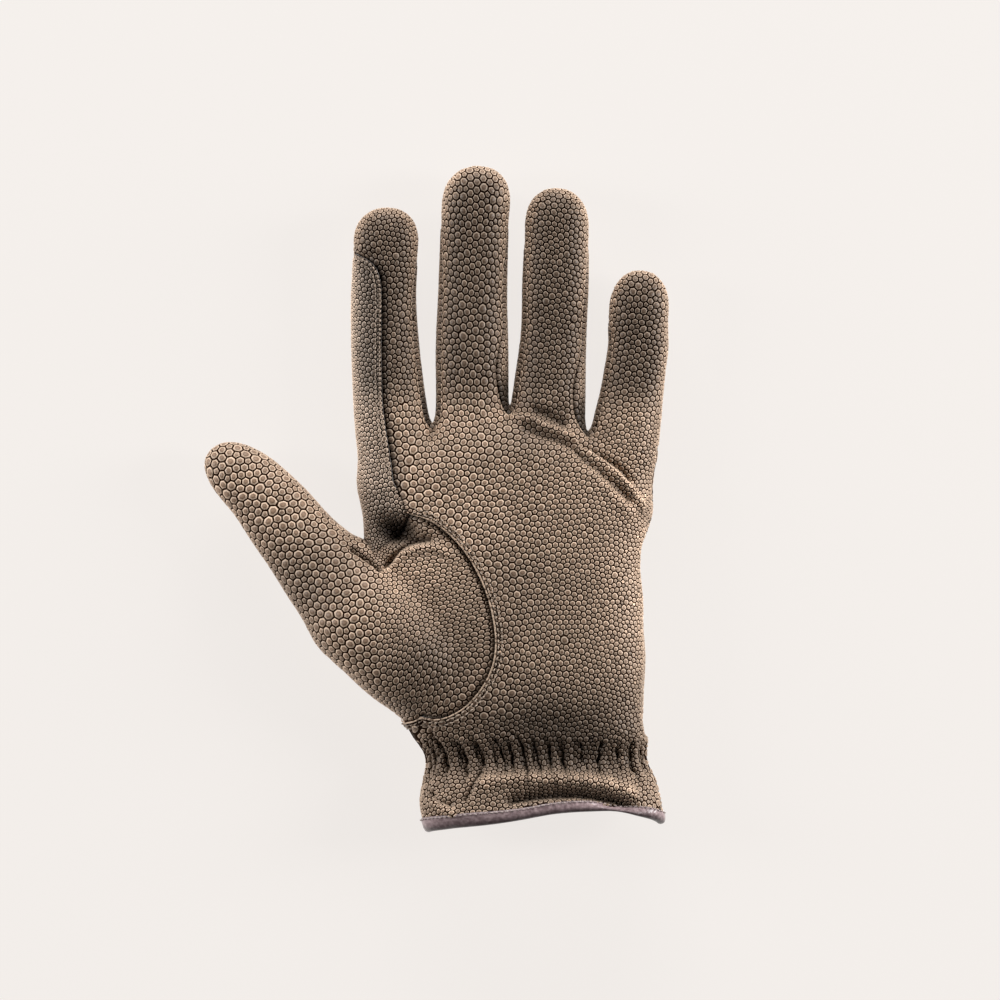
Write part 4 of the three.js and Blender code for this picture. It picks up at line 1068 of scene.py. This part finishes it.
def leather_piece(name, panel, scales, finish, slot_name):
    """The panel's sheet with its thickness and its scales, as one object."""
    inner = panel.outer - panel.smooth * wall
    inner[:, 2] = np.maximum(inner[:, 2], 0.0)
    above_floor = np.maximum(inner[:, 2], panel.outer[:, 2] + wall * 0.8)
    inner[:, 2] = np.where(panel.outer[:, 2] < 0.6, above_floor, inner[:, 2])
    count = len(panel.outer)
    faces = [tuple(face) for face in panel.faces]
    kinds = [0] * len(faces)
    faces += [tuple(i + count for i in face[::-1]) for face in panel.faces]
    faces += [(b, a, a + count, b + count) for a, b in panel.borders()]
    kinds += [1] * (len(faces) - len(kinds))
    scale_verts, scale_faces, scale_tone, scale_shade = scales
    faces += [tuple(i + 2 * count for i in face) for face in scale_faces]
    kinds += [0] * len(scale_faces)
    verts = np.vstack([panel.outer, inner, scale_verts])
    tone = np.concatenate([np.zeros(count), np.full(count, 0.9), scale_tone])
    shade = np.concatenate([panel.tint, np.ones(count), scale_shade])
    return make_piece(name, verts, faces, finish, slot_name, tone, shade, kinds)


def make_piece(name, verts, faces, finish, slot_name, tone=None, shade=None, kinds=None):
    """One object in metres from points in millimetres, with its materials and its body; the slot name is not
    used.
    """
    mesh = bpy.data.meshes.new(name)
    mesh.from_pydata([tuple(p) for p in (verts + moved) * 0.001], [], faces)
    for material in finish:
        mesh.materials.append(material)
    if kinds is not None:
        mesh.polygons.foreach_set("material_index", kinds)
    mesh.polygons.foreach_set("use_smooth", [True] * len(faces))
    if tone is not None:
        for label, data in (("tone", tone), ("shade", shade)):
            attribute = mesh.attributes.new(label, "FLOAT", "POINT")
            attribute.data.foreach_set("value", np.asarray(data, np.float32))
    mesh.validate()
    mesh.update()
    piece = bpy.data.objects.new(name, mesh)
    bpy.context.collection.objects.link(piece)
    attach(piece, "root")
    return piece


def srgb(r, g, b):
    return [((c / 255 + 0.055) / 1.055) ** 2.4 if c > 10 else c / 3294.6 for c in (r, g, b)] + [1]


def blank_material(name, roughness):
    """A new material, with its node tree and its shader."""
    material = bpy.data.materials.new(name)
    material.use_nodes = True
    shader = material.node_tree.nodes["Principled BSDF"]
    shader.inputs["Roughness"].default_value = roughness
    return material, material.node_tree, shader


def add_node(tree, kind, output, values=None, feeds=None, **settings):
    """Adds a node, sets its values, links what feeds it and gives the named output."""
    node = tree.nodes.new("ShaderNode" + kind)
    for setting, value in settings.items():
        setattr(node, setting, value)
    for socket, value in (values or {}).items():
        node.inputs[socket].default_value = value
    for socket, source in (feeds or {}).items():
        tree.links.new(source, node.inputs[socket])
    return node.outputs[output]


def ramp(tree, source, stops):
    """Turns a value into a colour by stops of place and colour."""
    node = tree.nodes.new("ShaderNodeValToRGB")
    ends = node.color_ramp.elements
    ends[0].position, ends[0].color = stops[0]
    ends[1].position, ends[1].color = stops[-1]
    for place, colour in stops[1:-1]:
        node.color_ramp.elements.new(place).color = colour
    tree.links.new(source, node.inputs["Fac"])
    return node.outputs["Color"]


def leather(name, groove, wall_tone, rim, middle, grain):
    """Embossed leather: colour and dimple follow the height inside each scale, with a fine grain over all;
    the colour paints a highlight on each rim and shade in the grooves.
    """
    material, tree, shader = blank_material(name, 0.46)
    shader.inputs["Sheen Roughness"].default_value = 0.35
    shader.inputs["Sheen Tint"].default_value = srgb(226, 198, 174)
    tone = add_node(tree, "Attribute", "Fac", attribute_name="tone")
    shade = add_node(tree, "Attribute", "Fac", attribute_name="shade")
    place = add_node(tree, "TexCoord", "Object")
    shaded = [mix(a, b, 0.5) for a, b in zip(middle, wall_tone)]
    # By height in the scale: grooves dark, partly the leather's own colour and partly painted shade; a
    # painted highlight on the rim; painted shade just inside it; the leather's own colour in the middle
    colour = ramp(tree, tone, [
        (0.0, groove), (0.2, wall_tone), (0.42, rim), (0.56, rim), (0.72, shaded), (0.86, middle),
        (1.0, middle),
    ])
    gloss = {"From Max": 0.5, "To Min": 0.02, "To Max": 0.36}
    gloss = add_node(tree, "MapRange", "Result", gloss, {"Value": tone})
    nap = add_node(tree, "MapRange", "Result", {"From Max": 0.5, "To Max": 0.12}, {"Value": tone})
    clouds = add_node(tree, "TexNoise", "Fac", {"Scale": 45, "Detail": 3}, {"Vector": place})
    cloud_range = {"From Min": 0.3, "From Max": 0.7, "To Min": 0.9, "To Max": 1.1}
    clouds = add_node(tree, "MapRange", "Result", cloud_range, {"Value": clouds})
    # The shade attribute carries each panel's painted light and shade into the colour
    spread = add_node(tree, "Math", "Value", feeds={0: shade, 1: clouds}, operation="MULTIPLY")
    tint = add_node(tree, "HueSaturation", "Color", feeds={"Color": colour, "Value": spread})
    levels = [(0.0, 0.0), (0.4, 0.9), (0.55, 1.0), (0.78, 0.5), (1.0, 0.45)]
    dimple = ramp(tree, tone, [(at, (level, level, level, 1)) for at, level in levels])
    fine = add_node(tree, "TexNoise", "Fac", {"Scale": grain, "Detail": 4}, {"Vector": place})
    pores = add_node(tree, "Bump", "Normal", {"Strength": 0.35, "Distance": 0.0001}, {"Height": fine})
    relief_of_scale = {"Height": dimple, "Normal": pores}
    bump = add_node(tree, "Bump", "Normal", {"Strength": 0.5, "Distance": 0.0002}, relief_of_scale)
    tree.links.new(gloss, shader.inputs["Specular IOR Level"])
    tree.links.new(nap, shader.inputs["Sheen Weight"])
    tree.links.new(tint, shader.inputs["Base Color"])
    tree.links.new(bump, shader.inputs["Normal"])
    return material


def waves(tree, values, colours, **settings):
    """A fine twisted or knitted pattern: its colour and its bump."""
    place = add_node(tree, "TexCoord", "Object")
    wave = add_node(tree, "TexWave", "Fac", values, {"Vector": place}, **settings)
    colour = ramp(tree, wave, [(0.0, colours[0]), (1.0, colours[1])])
    return colour, add_node(tree, "Bump", "Normal", {"Distance": 0.0001}, {"Height": wave})


def backing_cloth():
    """The leather's inner side: a fine knitted backing."""
    material, tree, shader = blank_material("knitted_backing", 0.9)
    shader.inputs["Sheen Weight"].default_value = 0.3
    yarn = srgb(62, 50, 42), srgb(96, 82, 72)
    colour, bump = waves(tree, {"Scale": 500, "Distortion": 3}, yarn)
    tree.links.new(colour, shader.inputs["Base Color"])
    tree.links.new(bump, shader.inputs["Normal"])
    return material


# The pale rim colour is a painted highlight; the dark groove colour is partly painted shade
leather_finish = leather(
    "embossed_leather", srgb(46, 27, 16), srgb(76, 52, 36), srgb(220, 193, 168), srgb(150, 123, 102), 2600
)
backing = backing_cloth()


def palm_pitch(p):
    """Size of the scales on the palm: largest by the thumb, smallest on the little finger's side."""
    across = (p[:, 0] - outer_x) / palm_width
    along = at_share(p[:, 1])
    size = np.interp(across, [0.2, 0.45, 0.62, 0.95], [2.3, 2.15, 1.85, 1.45])
    size = mix(1.6, size, ease((along - 0.19) / 0.12))
    fingers_across = [0.1, 0.22, 0.35, 0.5, 0.62, 0.85, 1.05]
    by_finger = np.interp(across, fingers_across, [1.75, 1.9, 2.1, 2.05, 1.75, 1.85, 1.85])
    size = mix(size, by_finger, ease((along - 0.9) / 0.12))
    size = mix(size, 1.6, ease((along - 1.3) / 0.12) * ease((0.24 - across) / 0.04))
    band = mix(3.2, 2.3, ease((along - 0.54) / 0.08))
    beside = np.exp(-((near_line(p, thumb_seam_palm[:, :2])[0] / band) ** 4)) * ease(p[:, 2] / 12)
    return mix(size, 0.82, beside * ease((along - 0.3) / 0.08) * ease((0.8 - along) / 0.03))


def palm_stretch(flat, place):
    """The scales are longer than wide in the gathers and on the fingers, and shorter across the palm."""
    along = [0.0, 0.1, 0.14, 0.2, 0.27, 0.6, 0.75, 0.84, 0.95, 1.1]
    rate = [1.0, 0.9, 0.62, 0.62, 0.95, 1.05, 1.2, 1.1, 0.95, 0.86]
    level = np.linspace(flat[:, 1].min(), flat[:, 1].max(), 600)
    step = np.interp(at_share(level), along, rate)
    height = np.concatenate([[0], np.cumsum((step[1:] + step[:-1]) / 2 * np.diff(level))])
    return np.interp(flat[:, 1], level, height)


palm_pattern = Pattern(palm_panel, stretch=palm_stretch)
palm = leather_piece(
    "palm_leather", palm_panel, embossed(palm_pattern, palm_pitch, 11, uneven=0.6), [leather_finish, backing],
    "embossed_leather",
)
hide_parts("palm")


def laid(path):
    """Lays a line on the finished leather and gives its normals too."""
    path = settle(path)
    normal = unit(slope(path))
    return path + normal * relief(path, normal)[:, None], normal


def framed(path, normal):
    along = unit(np.gradient(path, axis=0))
    side = unit(np.cross(along, normal))
    return along, side


def seam_roll(path, aside, wide, high, lift, rng):
    """A turned seam edge: a slim uneven roll of leather along a line, thinned out at both ends."""
    path, normal = laid(path)
    side = framed(path, normal)[1]
    share = np.linspace(0, 1, len(path))
    end = np.sqrt(np.clip(np.minimum(share, 1 - share) * 14, 0.02, 1))
    turn = np.linspace(0, 2 * math.pi, 10, endpoint=False)
    width = wide * end * rng.uniform(0.75, 1.2, len(path))
    rise = high * end * rng.uniform(0.75, 1.2, len(path))
    ring = (
        (path + side * aside + normal * lift)[:, None]
        + side[:, None] * (np.cos(turn)[None, :, None] * width[:, None, None])
        + normal[:, None] * (np.sin(turn)[None, :, None] * rise[:, None, None])
    )
    count = len(turn)
    faces = [
        (i * count + k, i * count + (k + 1) % count, (i + 1) * count + (k + 1) % count, (i + 1) * count + k)
        for i in range(len(path) - 1)
        for k in range(count)
    ]
    last = (len(path) - 1) * count
    faces += [tuple(range(count))[::-1], tuple(range(last, last + count))]
    return ring.reshape(-1, 3), [face[::-1] for face in faces]


def stitch_row(line, aside, pace, long, thick, lift, rng):
    """A row of small stitches, each a short bead pointed at both ends."""
    path, normal = line
    along, side = framed(path, normal)
    path = path + side * aside
    travelled = np.concatenate([[0], np.cumsum(np.linalg.norm(np.diff(path, axis=0), axis=1))])
    verts, faces = [], []
    for at in np.arange(pace, travelled[-1] - pace, pace):
        at += rng.uniform(-0.08, 0.08)
        spot, up, ahead, out = (
            np.array([np.interp(at, travelled, data[:, k]) for k in range(3)])
            for data in (path, normal, along, side)
        )
        first = len(verts)
        ahead = unit(ahead + out * rng.uniform(-0.18, 0.18))
        out = unit(np.cross(ahead, up))
        for share, size in ((-0.5, 0.2), (-0.25, 1), (0.25, 1), (0.5, 0.2)):
            for turn in np.linspace(0, 2 * math.pi, 6, endpoint=False):
                aside_of_thread = (out * math.cos(turn) + up * math.sin(turn)) * thick * size
                verts.append(spot + ahead * long * share + aside_of_thread + up * (lift * size))
        for ring in range(3):
            for k in range(6):
                a, b = first + ring * 6 + k, first + ring * 6 + (k + 1) % 6
                faces.append((a, b, b + 6, a + 6))
        faces += [tuple(first + k for k in range(5, -1, -1)), tuple(first + 18 + k for k in range(6))]
    return np.array(verts), faces


def joined(*meshes):
    verts, faces, first = [], [], 0
    for one, some in meshes:
        verts.append(one)
        faces += [tuple(i + first for i in face) for face in some]
        first += len(one)
    return np.vstack(verts), faces


# Seam edge. The palm's edge is turned under along the thumb's seam, and its fold stands up over the
# thumb's patch as a narrow uneven lip of the same leather.
rng = np.random.default_rng(7)
thumb_seam_line = spaced(thumb_seam_palm, 260)
lip_verts, lip_faces = seam_roll(thumb_seam_line, -0.05, 0.26, 0.4, 0.55, rng)
lip_tone = np.repeat(np.clip(0.45 + rng.normal(0, 0.16, len(lip_verts) // 10), 0.12, 0.6), 10)
lip_shade = np.full(len(lip_verts), 0.8)
make_piece("seam_edge", lip_verts, lip_faces, [leather_finish], "embossed_leather", lip_tone, lip_shade)

# Topstitching. Fine matching thread in short stitches, sewn through both layers: two rows beside the
# thumb's seam and two beside the rein patch.


def thread(name, colour):
    material, tree, shader = blank_material(name, 0.6)
    dark = [c * 0.55 for c in colour[:3]] + [1]
    colour, bump = waves(tree, {"Scale": 1500}, (dark, colour), bands_direction="DIAGONAL")
    tree.links.new(colour, shader.inputs["Base Color"])
    tree.links.new(bump, shader.inputs["Normal"])
    return material


patch_seam_line = spaced(seam_points(0, -1, False, np.linspace(0.02, 0.95, 120)), 150)
beside_thumb, beside_patch = laid(thumb_seam_line), laid(patch_seam_line)
stitch_mesh = joined(
    stitch_row(beside_thumb, -0.9, 1.9, 1.4, 0.2, 1.2, rng),
    stitch_row(beside_thumb, -2.1, 1.9, 1.4, 0.2, 1.1, rng),
    stitch_row(beside_patch, -0.6, 1.45, 1.0, 0.18, 1.0, rng),
    stitch_row(beside_patch, -2.0, 1.45, 1.0, 0.17, 0.8, rng),
)
make_piece("topstitching", *stitch_mesh, [thread("thread", srgb(208, 186, 166))], "embossed_leather")

# Back. The other half of the trank, cut from the same leather, which the glove lies on. It is sewn to
# the palm along both sides and to the fourchettes along the fingers.
back_panel = shaped(trank(True), seed=2)


def back_pitch(p):
    return np.full(len(p), 2.15)


back = leather_piece(
    "back_leather", back_panel, embossed(Pattern(back_panel), back_pitch, 12), [leather_finish, backing],
    "embossed_leather",
)
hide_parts("back")

# Thumb. A separate piece of the same leather, folded round the thumb and set into the palm with a patch
# over the ball of the thumb. Its own seam runs down the thumb's outer edge.
thumb_loop = np.vstack([thumb_seam_palm, thumb_seam_back[1:], web_edge[::-1][1:-1]])
web_turn = math.radians(25)
loop_angles = np.concatenate([
    np.linspace(web_turn, math.pi, side_steps + 1),
    np.linspace(math.pi, 2 * math.pi - web_turn, side_steps + 1)[1:],
    np.linspace(2 * math.pi - web_turn, 2 * math.pi + web_turn, len(web_edge))[1:-1],
])
ring_shares = [0.12, 0.22, 0.31, 0.39, 0.47, 0.56, 0.65, 0.73, 0.8]
thumb_panel = Panel()
thumb_rings = [thumb_loop]
start_along = thumb_tube.local(thumb_loop)[0] / thumb_tube.length
for n in np.linspace(0, 8, 41):
    share = np.interp(n, range(9), ring_shares)
    start = np.minimum(start_along, share)
    at = mix(mix(start, share, min((n + 1) / 4, 1)), share, ease((n + 1) / 4))
    ring = thumb_tube.place(at * thumb_tube.length, np.cos(loop_angles), np.sin(loop_angles))
    thumb_rings.append(settle(mix(thumb_loop, ring, min(1, (n + 1) / 3.5))))
for polar in np.radians(np.linspace(6, 84, 14)):
    along = thumb_tube.cap_start + math.sin(polar) * thumb_tube.tip
    size = math.cos(polar)
    ring = thumb_tube.place(along, size * np.cos(loop_angles), size * np.sin(loop_angles))
    thumb_rings.append(settle(ring))
between = [settle(mix(thumb_rings[0], thumb_rings[1], t)) for t in np.linspace(0, 1, 8)[1:-1]]
thumb_rings = np.array([thumb_rings[0]] + between + thumb_rings[1:])
for _ in range(40):
    around = (np.roll(thumb_rings, 1, axis=1) + np.roll(thumb_rings, -1, axis=1)) / 2
    ahead = thumb_rings.copy()
    ahead[1:-1] = (thumb_rings[2:] + thumb_rings[:-2]) / 2
    middle = (around + ahead) / 2
    thumb_rings[1:-1] = settle(mix(thumb_rings, middle, 0.6)[1:-1], 2)
seam_rings = [settle(mix(thumb_rings[0], thumb_rings[1], t)) for t in (0.2, 0.5)]
thumb_rings = np.concatenate([thumb_rings[:1], np.array(seam_rings), thumb_rings[1:]])
tip_point = settle(thumb_tube.place(np.array([thumb_tube.length]), 0, 0))
ring_ids = []
for ring in thumb_rings:
    ids = thumb_panel.add(ring)
    if ring_ids:
        thumb_panel.join(ids + ids[:1], ring_ids[-1] + ring_ids[-1][:1])
    ring_ids.append(ids)
tip_id = thumb_panel.add(tip_point)[0]
last = ring_ids[-1]
thumb_panel.faces += [(tip_id, last[(k + 1) % len(last)], last[k]) for k in range(len(last))]
thumb_panel.finish()
thumb_panel = shaped(refined(thumb_panel), [(thumb_seam_palm, -1.5, 1.3, 1.5, 0.75)])
outer_column = [ids[side_steps] for ids in ring_ids] + [tip_id]


def thumb_pitch(p):
    """Scales are large on the thumb and small over its ball."""
    ball = ease((p[:, 0] - at_across(0.03)) / 10)
    low = ease((at_share(p[:, 1]) - 0.32) / 0.2)
    flap = np.hypot(p[:, 0] - at_across(0.089), p[:, 1] - at_along(0.658))
    creased = np.exp(-((near_line(p, ridge_lines[8][2])[0] / 1.3) ** 2))
    return mix(mix(2.5, mix(2.05, 1.6, low), ball), 0.95, np.maximum(ease((4.5 - flap) / 2), creased))


def thumb_stretch(flat, place):
    """Over the upper part of the ball of the thumb the scales are squashed flat."""
    low, high = at_along(0.43), at_along(0.655)
    squashed = ease((place[:, 0] - at_across(0.05)) / 30)
    return flat[:, 1] + 0.6 * squashed * (np.clip(place[:, 1], low, high) - (low + high) / 2)


thumb_pattern = Pattern(thumb_panel, cut=list(zip(outer_column, outer_column[1:])), stretch=thumb_stretch)
thumb = leather_piece(
    "thumb_leather", thumb_panel, embossed(thumb_pattern, thumb_pitch, 13), [leather_finish, backing],
    "embossed_leather",
)
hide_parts("thumb")

# Rein patch. A second piece of leather with a finer scale on the index finger's outer side, where the
# rein runs. It reaches from below the fingertip down to the thumb's crotch.
patch_panel = Panel()
rows = np.linspace(0, 0.955, 42)
palm_edge, back_edge = seam_points(0, -1, False, rows), seam_points(0, -1, True, rows)
index = finger_tubes[0]
along = mix(outer_foot[0] * index.length, index.cap_start, rows)[:, None]
angles = [finger_seam(0, -1, side, rows)[:, None] for side in (True, False)]
along = np.broadcast_to(along, (len(rows), len(columns)))
strip = settle(index.round(along, mix(angles[0], angles[1], columns[None])))
strip[:, 0], strip[:, -1] = back_edge, palm_edge
web_even = spaced(web_edge[::-1], 200)
web_row = web_even[np.round(columns * 200).astype(int)]
below = [settle(mix(strip[0], web_row, t)) for t in np.concatenate([np.linspace(0.1, 0.9, 9), [0.95, 0.98]])]
low = patch_panel.add(web_row)
for row in below[::-1] + list(strip):
    high = patch_panel.add(row)
    patch_panel.join(low, high)
    low = high
patch_panel.finish()
patch_panel = shaped(refined(patch_panel), [(patch_seam, 0.45, 1.8, 0.1, 2.5)])


def patch_pitch(p):
    flap = np.hypot(p[:, 0] - at_across(0.09), p[:, 1] - at_along(0.66))
    return mix(1.5, 0.9, ease((7 - flap) / 4))


# The very pale rim colour is a painted highlight on the finer scales; the dark groove colour is partly
# painted shade
patch_finish = leather(
    "rein_patch_leather", srgb(34, 20, 12), srgb(64, 44, 31), srgb(250, 224, 200), srgb(144, 119, 100), 3000
)
patch_scales = embossed(Pattern(patch_panel), patch_pitch, 14, groove=0.18)
patch = leather_piece("rein_patch_leather", patch_panel, patch_scales, [patch_finish, backing], "rein_patch")
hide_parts("rein_patch")

# Fourchettes. Three narrow strips of the same leather that join the palm to the back between the
# fingers: each runs down one finger, through the crotch and up the next.


def fourchette_pitch(p):
    return np.full(len(p), 1.7)


for i, name in enumerate(("index_middle", "middle_ring", "ring_little")):
    panel = Panel()
    rows = np.linspace(0, 0.955, 34)[1:]
    strips = []
    for finger, side in ((i, 1), (i + 1, -1)):
        tube = finger_tubes[finger]
        top, bottom = seam_points(finger, side, False, rows), seam_points(finger, side, True, rows)
        foot_along = tube.local(crotches[i][False])[0]
        along = mix(foot_along, tube.cap_start, rows)[:, None]
        angles = [finger_seam(finger, side, back_side, rows)[:, None] for back_side in (False, True)]
        along = np.broadcast_to(along, (len(rows), len(columns)))
        out = tube.round(along, mix(angles[0], angles[1], columns[None]))
        inner = mix(crotches[i][False], crotches[i][True], columns[:, None])[None]
        start = points(inner[..., 0], out[..., 1], inner[..., 2])
        grid = settle(mix(start, out, opening(along - foot_along)[..., None]))
        grid[:, 0], grid[:, -1] = top, bottom
        strips.append(grid)
    web = settle(mix(crotches[i][False], crotches[i][True], columns[:, None]))
    web[0], web[-1] = crotches[i][False], crotches[i][True]
    low = None
    for row in list(strips[0][::-1]) + [web] + list(strips[1]):
        high = panel.add(row)
        if low is not None:
            panel.join(high, low)
        low = high
    panel = shaped(panel.finish())
    # Painted shadow between the fingers: the fourchettes are darker all along, and darkest near the crotch on
    # faces turned towards +x
    crotch_shadow_reach = ease((16 - np.linalg.norm(panel.points - crotches[i][False], axis=1)) / 8)
    panel.tint *= mix(0.85, mix(0.8, 0.22, ease(0.6 + panel.normals[:, 0])), crotch_shadow_reach)
    scales = embossed(Pattern(panel), fourchette_pitch, 15 + i, height=0.22)
    fourchette = leather_piece(
        f"fourchette_{name}_leather", panel, scales, [leather_finish, backing], "embossed_leather"
    )
    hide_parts(f"fourchette_{name}")

# Binding. A smooth mauve-brown tape folded over the hem, so that it covers the raw edge inside and out.
# One row of thread near its upper edge goes through it and the leather.
loops = []
for level in (0, 4):
    first, last = palm_panel.hem_rows[level], back_panel.hem_rows[level][1:-1][::-1]
    p = np.vstack([palm_panel.outer[first], back_panel.outer[last]])
    n = np.vstack([palm_panel.smooth[first], back_panel.smooth[last]])
    for _ in range(4):
        p = (np.roll(p, 1, axis=0) + p * 2 + np.roll(p, -1, axis=0)) / 4
        n = unit((np.roll(n, 1, axis=0) + n * 2 + np.roll(n, -1, axis=0)) / 4)
    loops.append((p, n))
(edge, edge_out), (upper, upper_out) = loops
down = unit(edge - upper)
for _ in range(12):
    down = unit((np.roll(down, 1, axis=0) + down * 2 + np.roll(down, -1, axis=0)) / 4)
hem_share = (edge[:, :1] - at_across(0.3)) / (at_across(0.62) - at_across(0.3))
binding_height = mix(3.5, 2.6, ease(hem_share))
# height as a share of the binding's, and how far out of the leather's face
section = [
    (1.0, 0.12), (0.96, 0.62), (0.8, 0.86), (0.45, 0.98), (0.05, 0.98), (-0.28, 0.72), (-0.42, 0.1),
    (-0.44, -0.6), (-0.36, -1.25), (-0.16, -1.72), (0.1, -1.95), (0.6, -1.95), (0.95, -1.8),
    (1.0, -1.35), (0.9, -1.28), (0.3, -1.28), (0.02, -1.1), (-0.06, -0.6), (0.02, 0.08), (0.4, 0.1),
]
rings = []
for height, out in section:
    spot = edge - down * (binding_height * height)
    normal = unit(mix(edge_out, upper_out, np.clip(height, 0, 1)))
    rings.append(spot + normal * out)
binding_points = np.stack(rings, axis=1)
binding_points[..., 2] = np.maximum(binding_points[..., 2], 0.02)
loop_count, section_count = binding_points.shape[:2]
binding_faces = []
for i in range(loop_count):
    here, ahead = i * section_count, (i + 1) % loop_count * section_count
    for k in range(section_count):
        after = (k + 1) % section_count
        binding_faces.append((here + k, here + after, ahead + after, ahead + k))


def tape():
    """Smooth tape, a little puckered, with painted light and shade across its width."""
    material, tree, shader = blank_material("binding_tape", 0.28)
    place = add_node(tree, "TexCoord", "Object")
    shade = add_node(tree, "Attribute", "Fac", attribute_name="shade")
    grain = add_node(tree, "TexNoise", "Fac", {"Scale": 900, "Detail": 5}, {"Vector": place})
    colour = ramp(tree, grain, [(0.35, srgb(120, 101, 103)), (0.7, srgb(170, 149, 150))])
    tint = add_node(tree, "HueSaturation", "Color", feeds={"Color": colour, "Value": shade})
    puckers = add_node(tree, "TexNoise", "Fac", {"Scale": 260, "Detail": 2}, {"Vector": place})
    folds = add_node(tree, "Bump", "Normal", {"Strength": 0.7, "Distance": 0.0009}, {"Height": puckers})
    weave = {"Height": grain, "Normal": folds}
    bump = add_node(tree, "Bump", "Normal", {"Strength": 0.4, "Distance": 0.0002}, weave)
    tree.links.new(tint, shader.inputs["Base Color"])
    tree.links.new(bump, shader.inputs["Normal"])
    return material


heights = [height for height, out in section]
# Painted light and shade across the tape: lightest on the middle of its face, darker towards its upper edge,
# darkest round the fold at the hem
painted_light_across_tape = np.interp(heights, [-0.3, 0.0, 0.25, 0.6, 0.85, 1.0], [0.3, 0.65, 1.3, 1.2, 0.9, 0.5])
binding = make_piece(
    "binding_tape", binding_points.reshape(-1, 3), binding_faces, [tape()], "binding",
    np.zeros(loop_count * section_count), np.tile(painted_light_across_tape, loop_count),
)
bpy.ops.object.select_all(action="DESELECT")
binding.select_set(True)
bpy.context.view_layer.objects.active = binding
bpy.ops.object.mode_set(mode="EDIT")
bpy.ops.mesh.select_all(action="SELECT")
bpy.ops.mesh.normals_make_consistent(inside=False)
bpy.ops.object.mode_set(mode="OBJECT")
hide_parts("binding")

hem_count = len(palm_panel.hem_rows[0])
hem_line = (edge - down * (binding_height * 0.8) + upper_out * 1.0)[2 : hem_count - 2]
hem_mesh = stitch_row((hem_line, upper_out[2 : hem_count - 2]), 0, 1.7, 1.15, 0.23, 0.1, rng)
make_piece("binding_stitches", *hem_mesh, [thread("binding_thread", srgb(196, 178, 172))], "binding")
